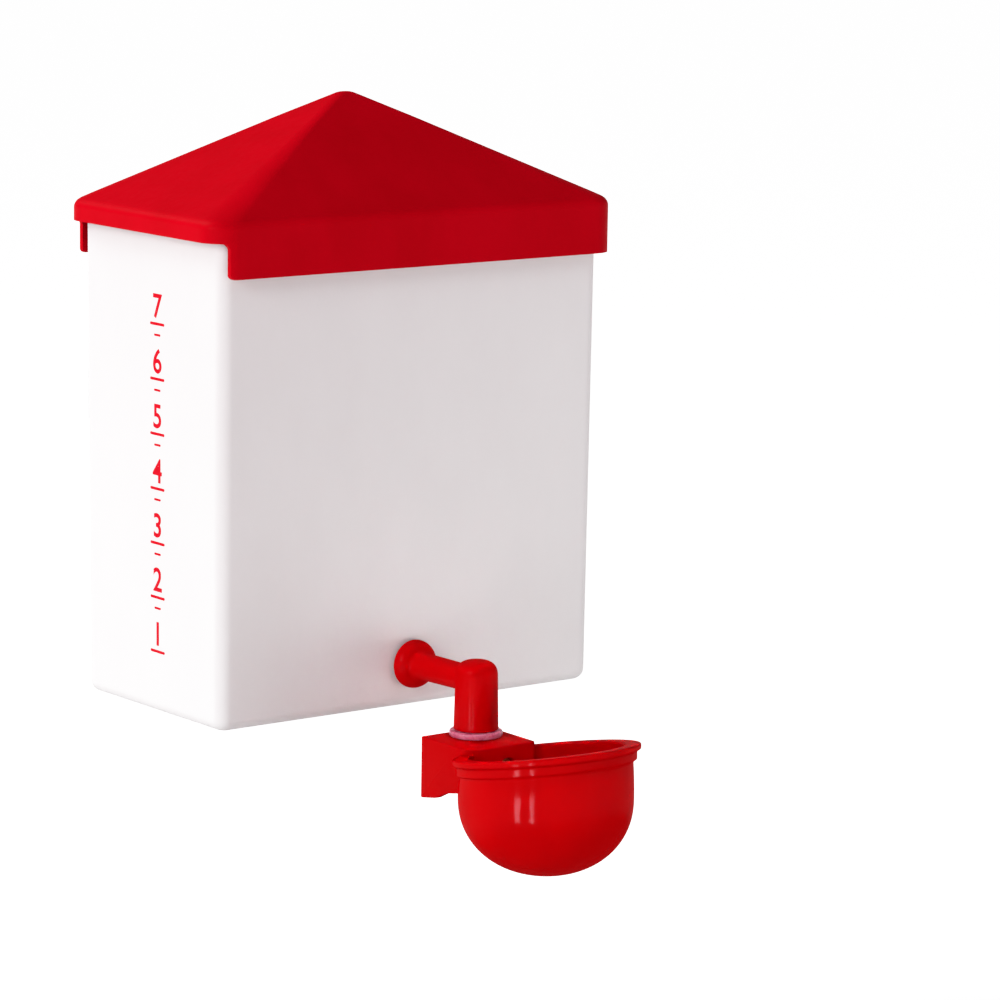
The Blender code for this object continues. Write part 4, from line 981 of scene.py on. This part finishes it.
def add_light(name, place, target, width, height, power, colour=(1, 1, 1)):
    """Softbox at one point, turned towards another, both in metres from the drawing frame's zero."""
    data = bpy.data.lights.new(name, "AREA")
    data.shape = "RECTANGLE"
    data.size = width
    data.size_y = height
    data.energy = power
    data.color = colour
    light = linked(name, data)
    light.location = ORIGIN + Vector(place)
    direction = Vector(target) - Vector(place)
    light.rotation_euler = direction.to_track_quat("-Z", "Y").to_euler()
    light.visible_camera = False
    return light


def add_world():
    """Soft studio surround: white round the horizon, dimmer above."""
    world = bpy.data.worlds.new("studio")
    bpy.context.scene.world = world
    world.use_nodes = True
    tree = world.node_tree
    background = tree.nodes["Background"]
    place = tree.nodes.new("ShaderNodeTexCoord")
    split = tree.nodes.new("ShaderNodeSeparateXYZ")
    tree.links.new(place.outputs["Generated"], split.inputs["Vector"])
    strength = spread(tree, split.outputs["Z"], 1.0, 0.16, 0.06, 0.14)
    tree.links.new(strength, background.inputs["Strength"])
    put(background, {"Color": (1, 1, 1, 1)})


def add_floor():
    """Pale floor that glows like a light table, least round a point in front of the object."""
    bpy.ops.mesh.primitive_plane_add(size=60, location=(0, FLOOR_Y, ORIGIN.z - FLOOR_DROP))
    floor = bpy.context.object
    floor.name = "floor"
    paint, tree, shader = shader_of("floor_white")
    place = tree.nodes.new("ShaderNodeTexCoord")
    shift = tree.nodes.new("ShaderNodeVectorMath")
    shift.operation = "ADD"
    shift.inputs[1].default_value = (-DIM_X, FLOOR_Y - DIM_Y, 0)
    away = tree.nodes.new("ShaderNodeVectorMath")
    away.operation = "LENGTH"
    tree.links.new(place.outputs["Object"], shift.inputs[0])
    tree.links.new(shift.outputs["Vector"], away.inputs[0])
    glow = spread(tree, away.outputs["Value"], 0.0, 1.18, 0.95, 1.32)
    tree.links.new(glow, shader.inputs["Emission Strength"])
    put(shader, {"Base Color": (0.48, 0.48, 0.48, 1), "Roughness": 0.9, "Specular IOR Level": 0.0,
                 "Emission Color": (1, 1, 1, 1)})
    floor.data.materials.append(paint)


def set_tones():
    """Plain display transform, with bright whites rolled off as a camera does."""
    settings = bpy.context.scene.view_settings
    settings.view_transform = "Standard"
    settings.use_curve_mapping = True
    mapping = settings.curve_mapping
    mapping.clip_max_x = 2.0
    curve = mapping.curves[3]
    curve.points[0].location = (0.0, 0.0)
    curve.points[1].location = (1.3, 1.0)
    for place in ((0.35, 0.35), (0.7, 0.7), (1.06, 0.93)):
        curve.points.new(*place)
    mapping.update()


def add_surroundings():
    set_tones()
    add_world()
    add_floor()
    middle = (0, 0.05, 0.1)
    add_light("key", (-1.36, 2.05, 2.35), middle, 1.5, 1.5, 92)
    add_light("side", (-2.64, -0.60, 1.30), middle, 1.2, 1.2, 54)
    add_light("front", (0.5, -1.6, 2.4), middle, 1.5, 1.5, 7, (1.0, 0.62, 0.74))
    add_light("low", (0.45, -0.90, -0.25), (0.06, 0, 0.05), 0.5, 0.5, 2.4).visible_glossy = False
    bowl = (0, -0.0955, -0.015)
    grid = add_light("cup_top", (0.0, -0.45, 0.95), (0, -0.075, 0.0), 0.06, 0.06, 0.033)
    grid.data.spread = math.radians(12)
    for name, place, width, height, power in (("window_left", (-0.966, -0.355, -0.266), 0.125, 0.185, 5.4),
                                              ("window_right", (-0.829, -0.655, -0.266), 0.095, 0.185, 4.2),
                                              ("window_high", (-1.88, 0.04, 0.71), 0.22, 0.10, 20)):
        window = add_light(name, place, bowl, width, height, power, (1.0, 0.72, 0.86))
        window.visible_diffuse = False


def main():
    finishes = all_finishes()
    red, white = finishes["cup_red"], finishes["float_white"]
    black, steel = finishes["black_rubber"], finishes["zinc_steel"]
    add_camera()
    add_surroundings()
    build_tank(finishes["tank_white"])
    build_marks(finishes["print_red"])
    build_lid(finishes["lid_red"])
    build_rail(steel)
    build_outlet(red, finishes["nut_red"], black)
    build_swivel(finishes["gasket_clear"], black, red)
    build_cup(red)
    build_valve(white, finishes["brass"], steel, black)


main()
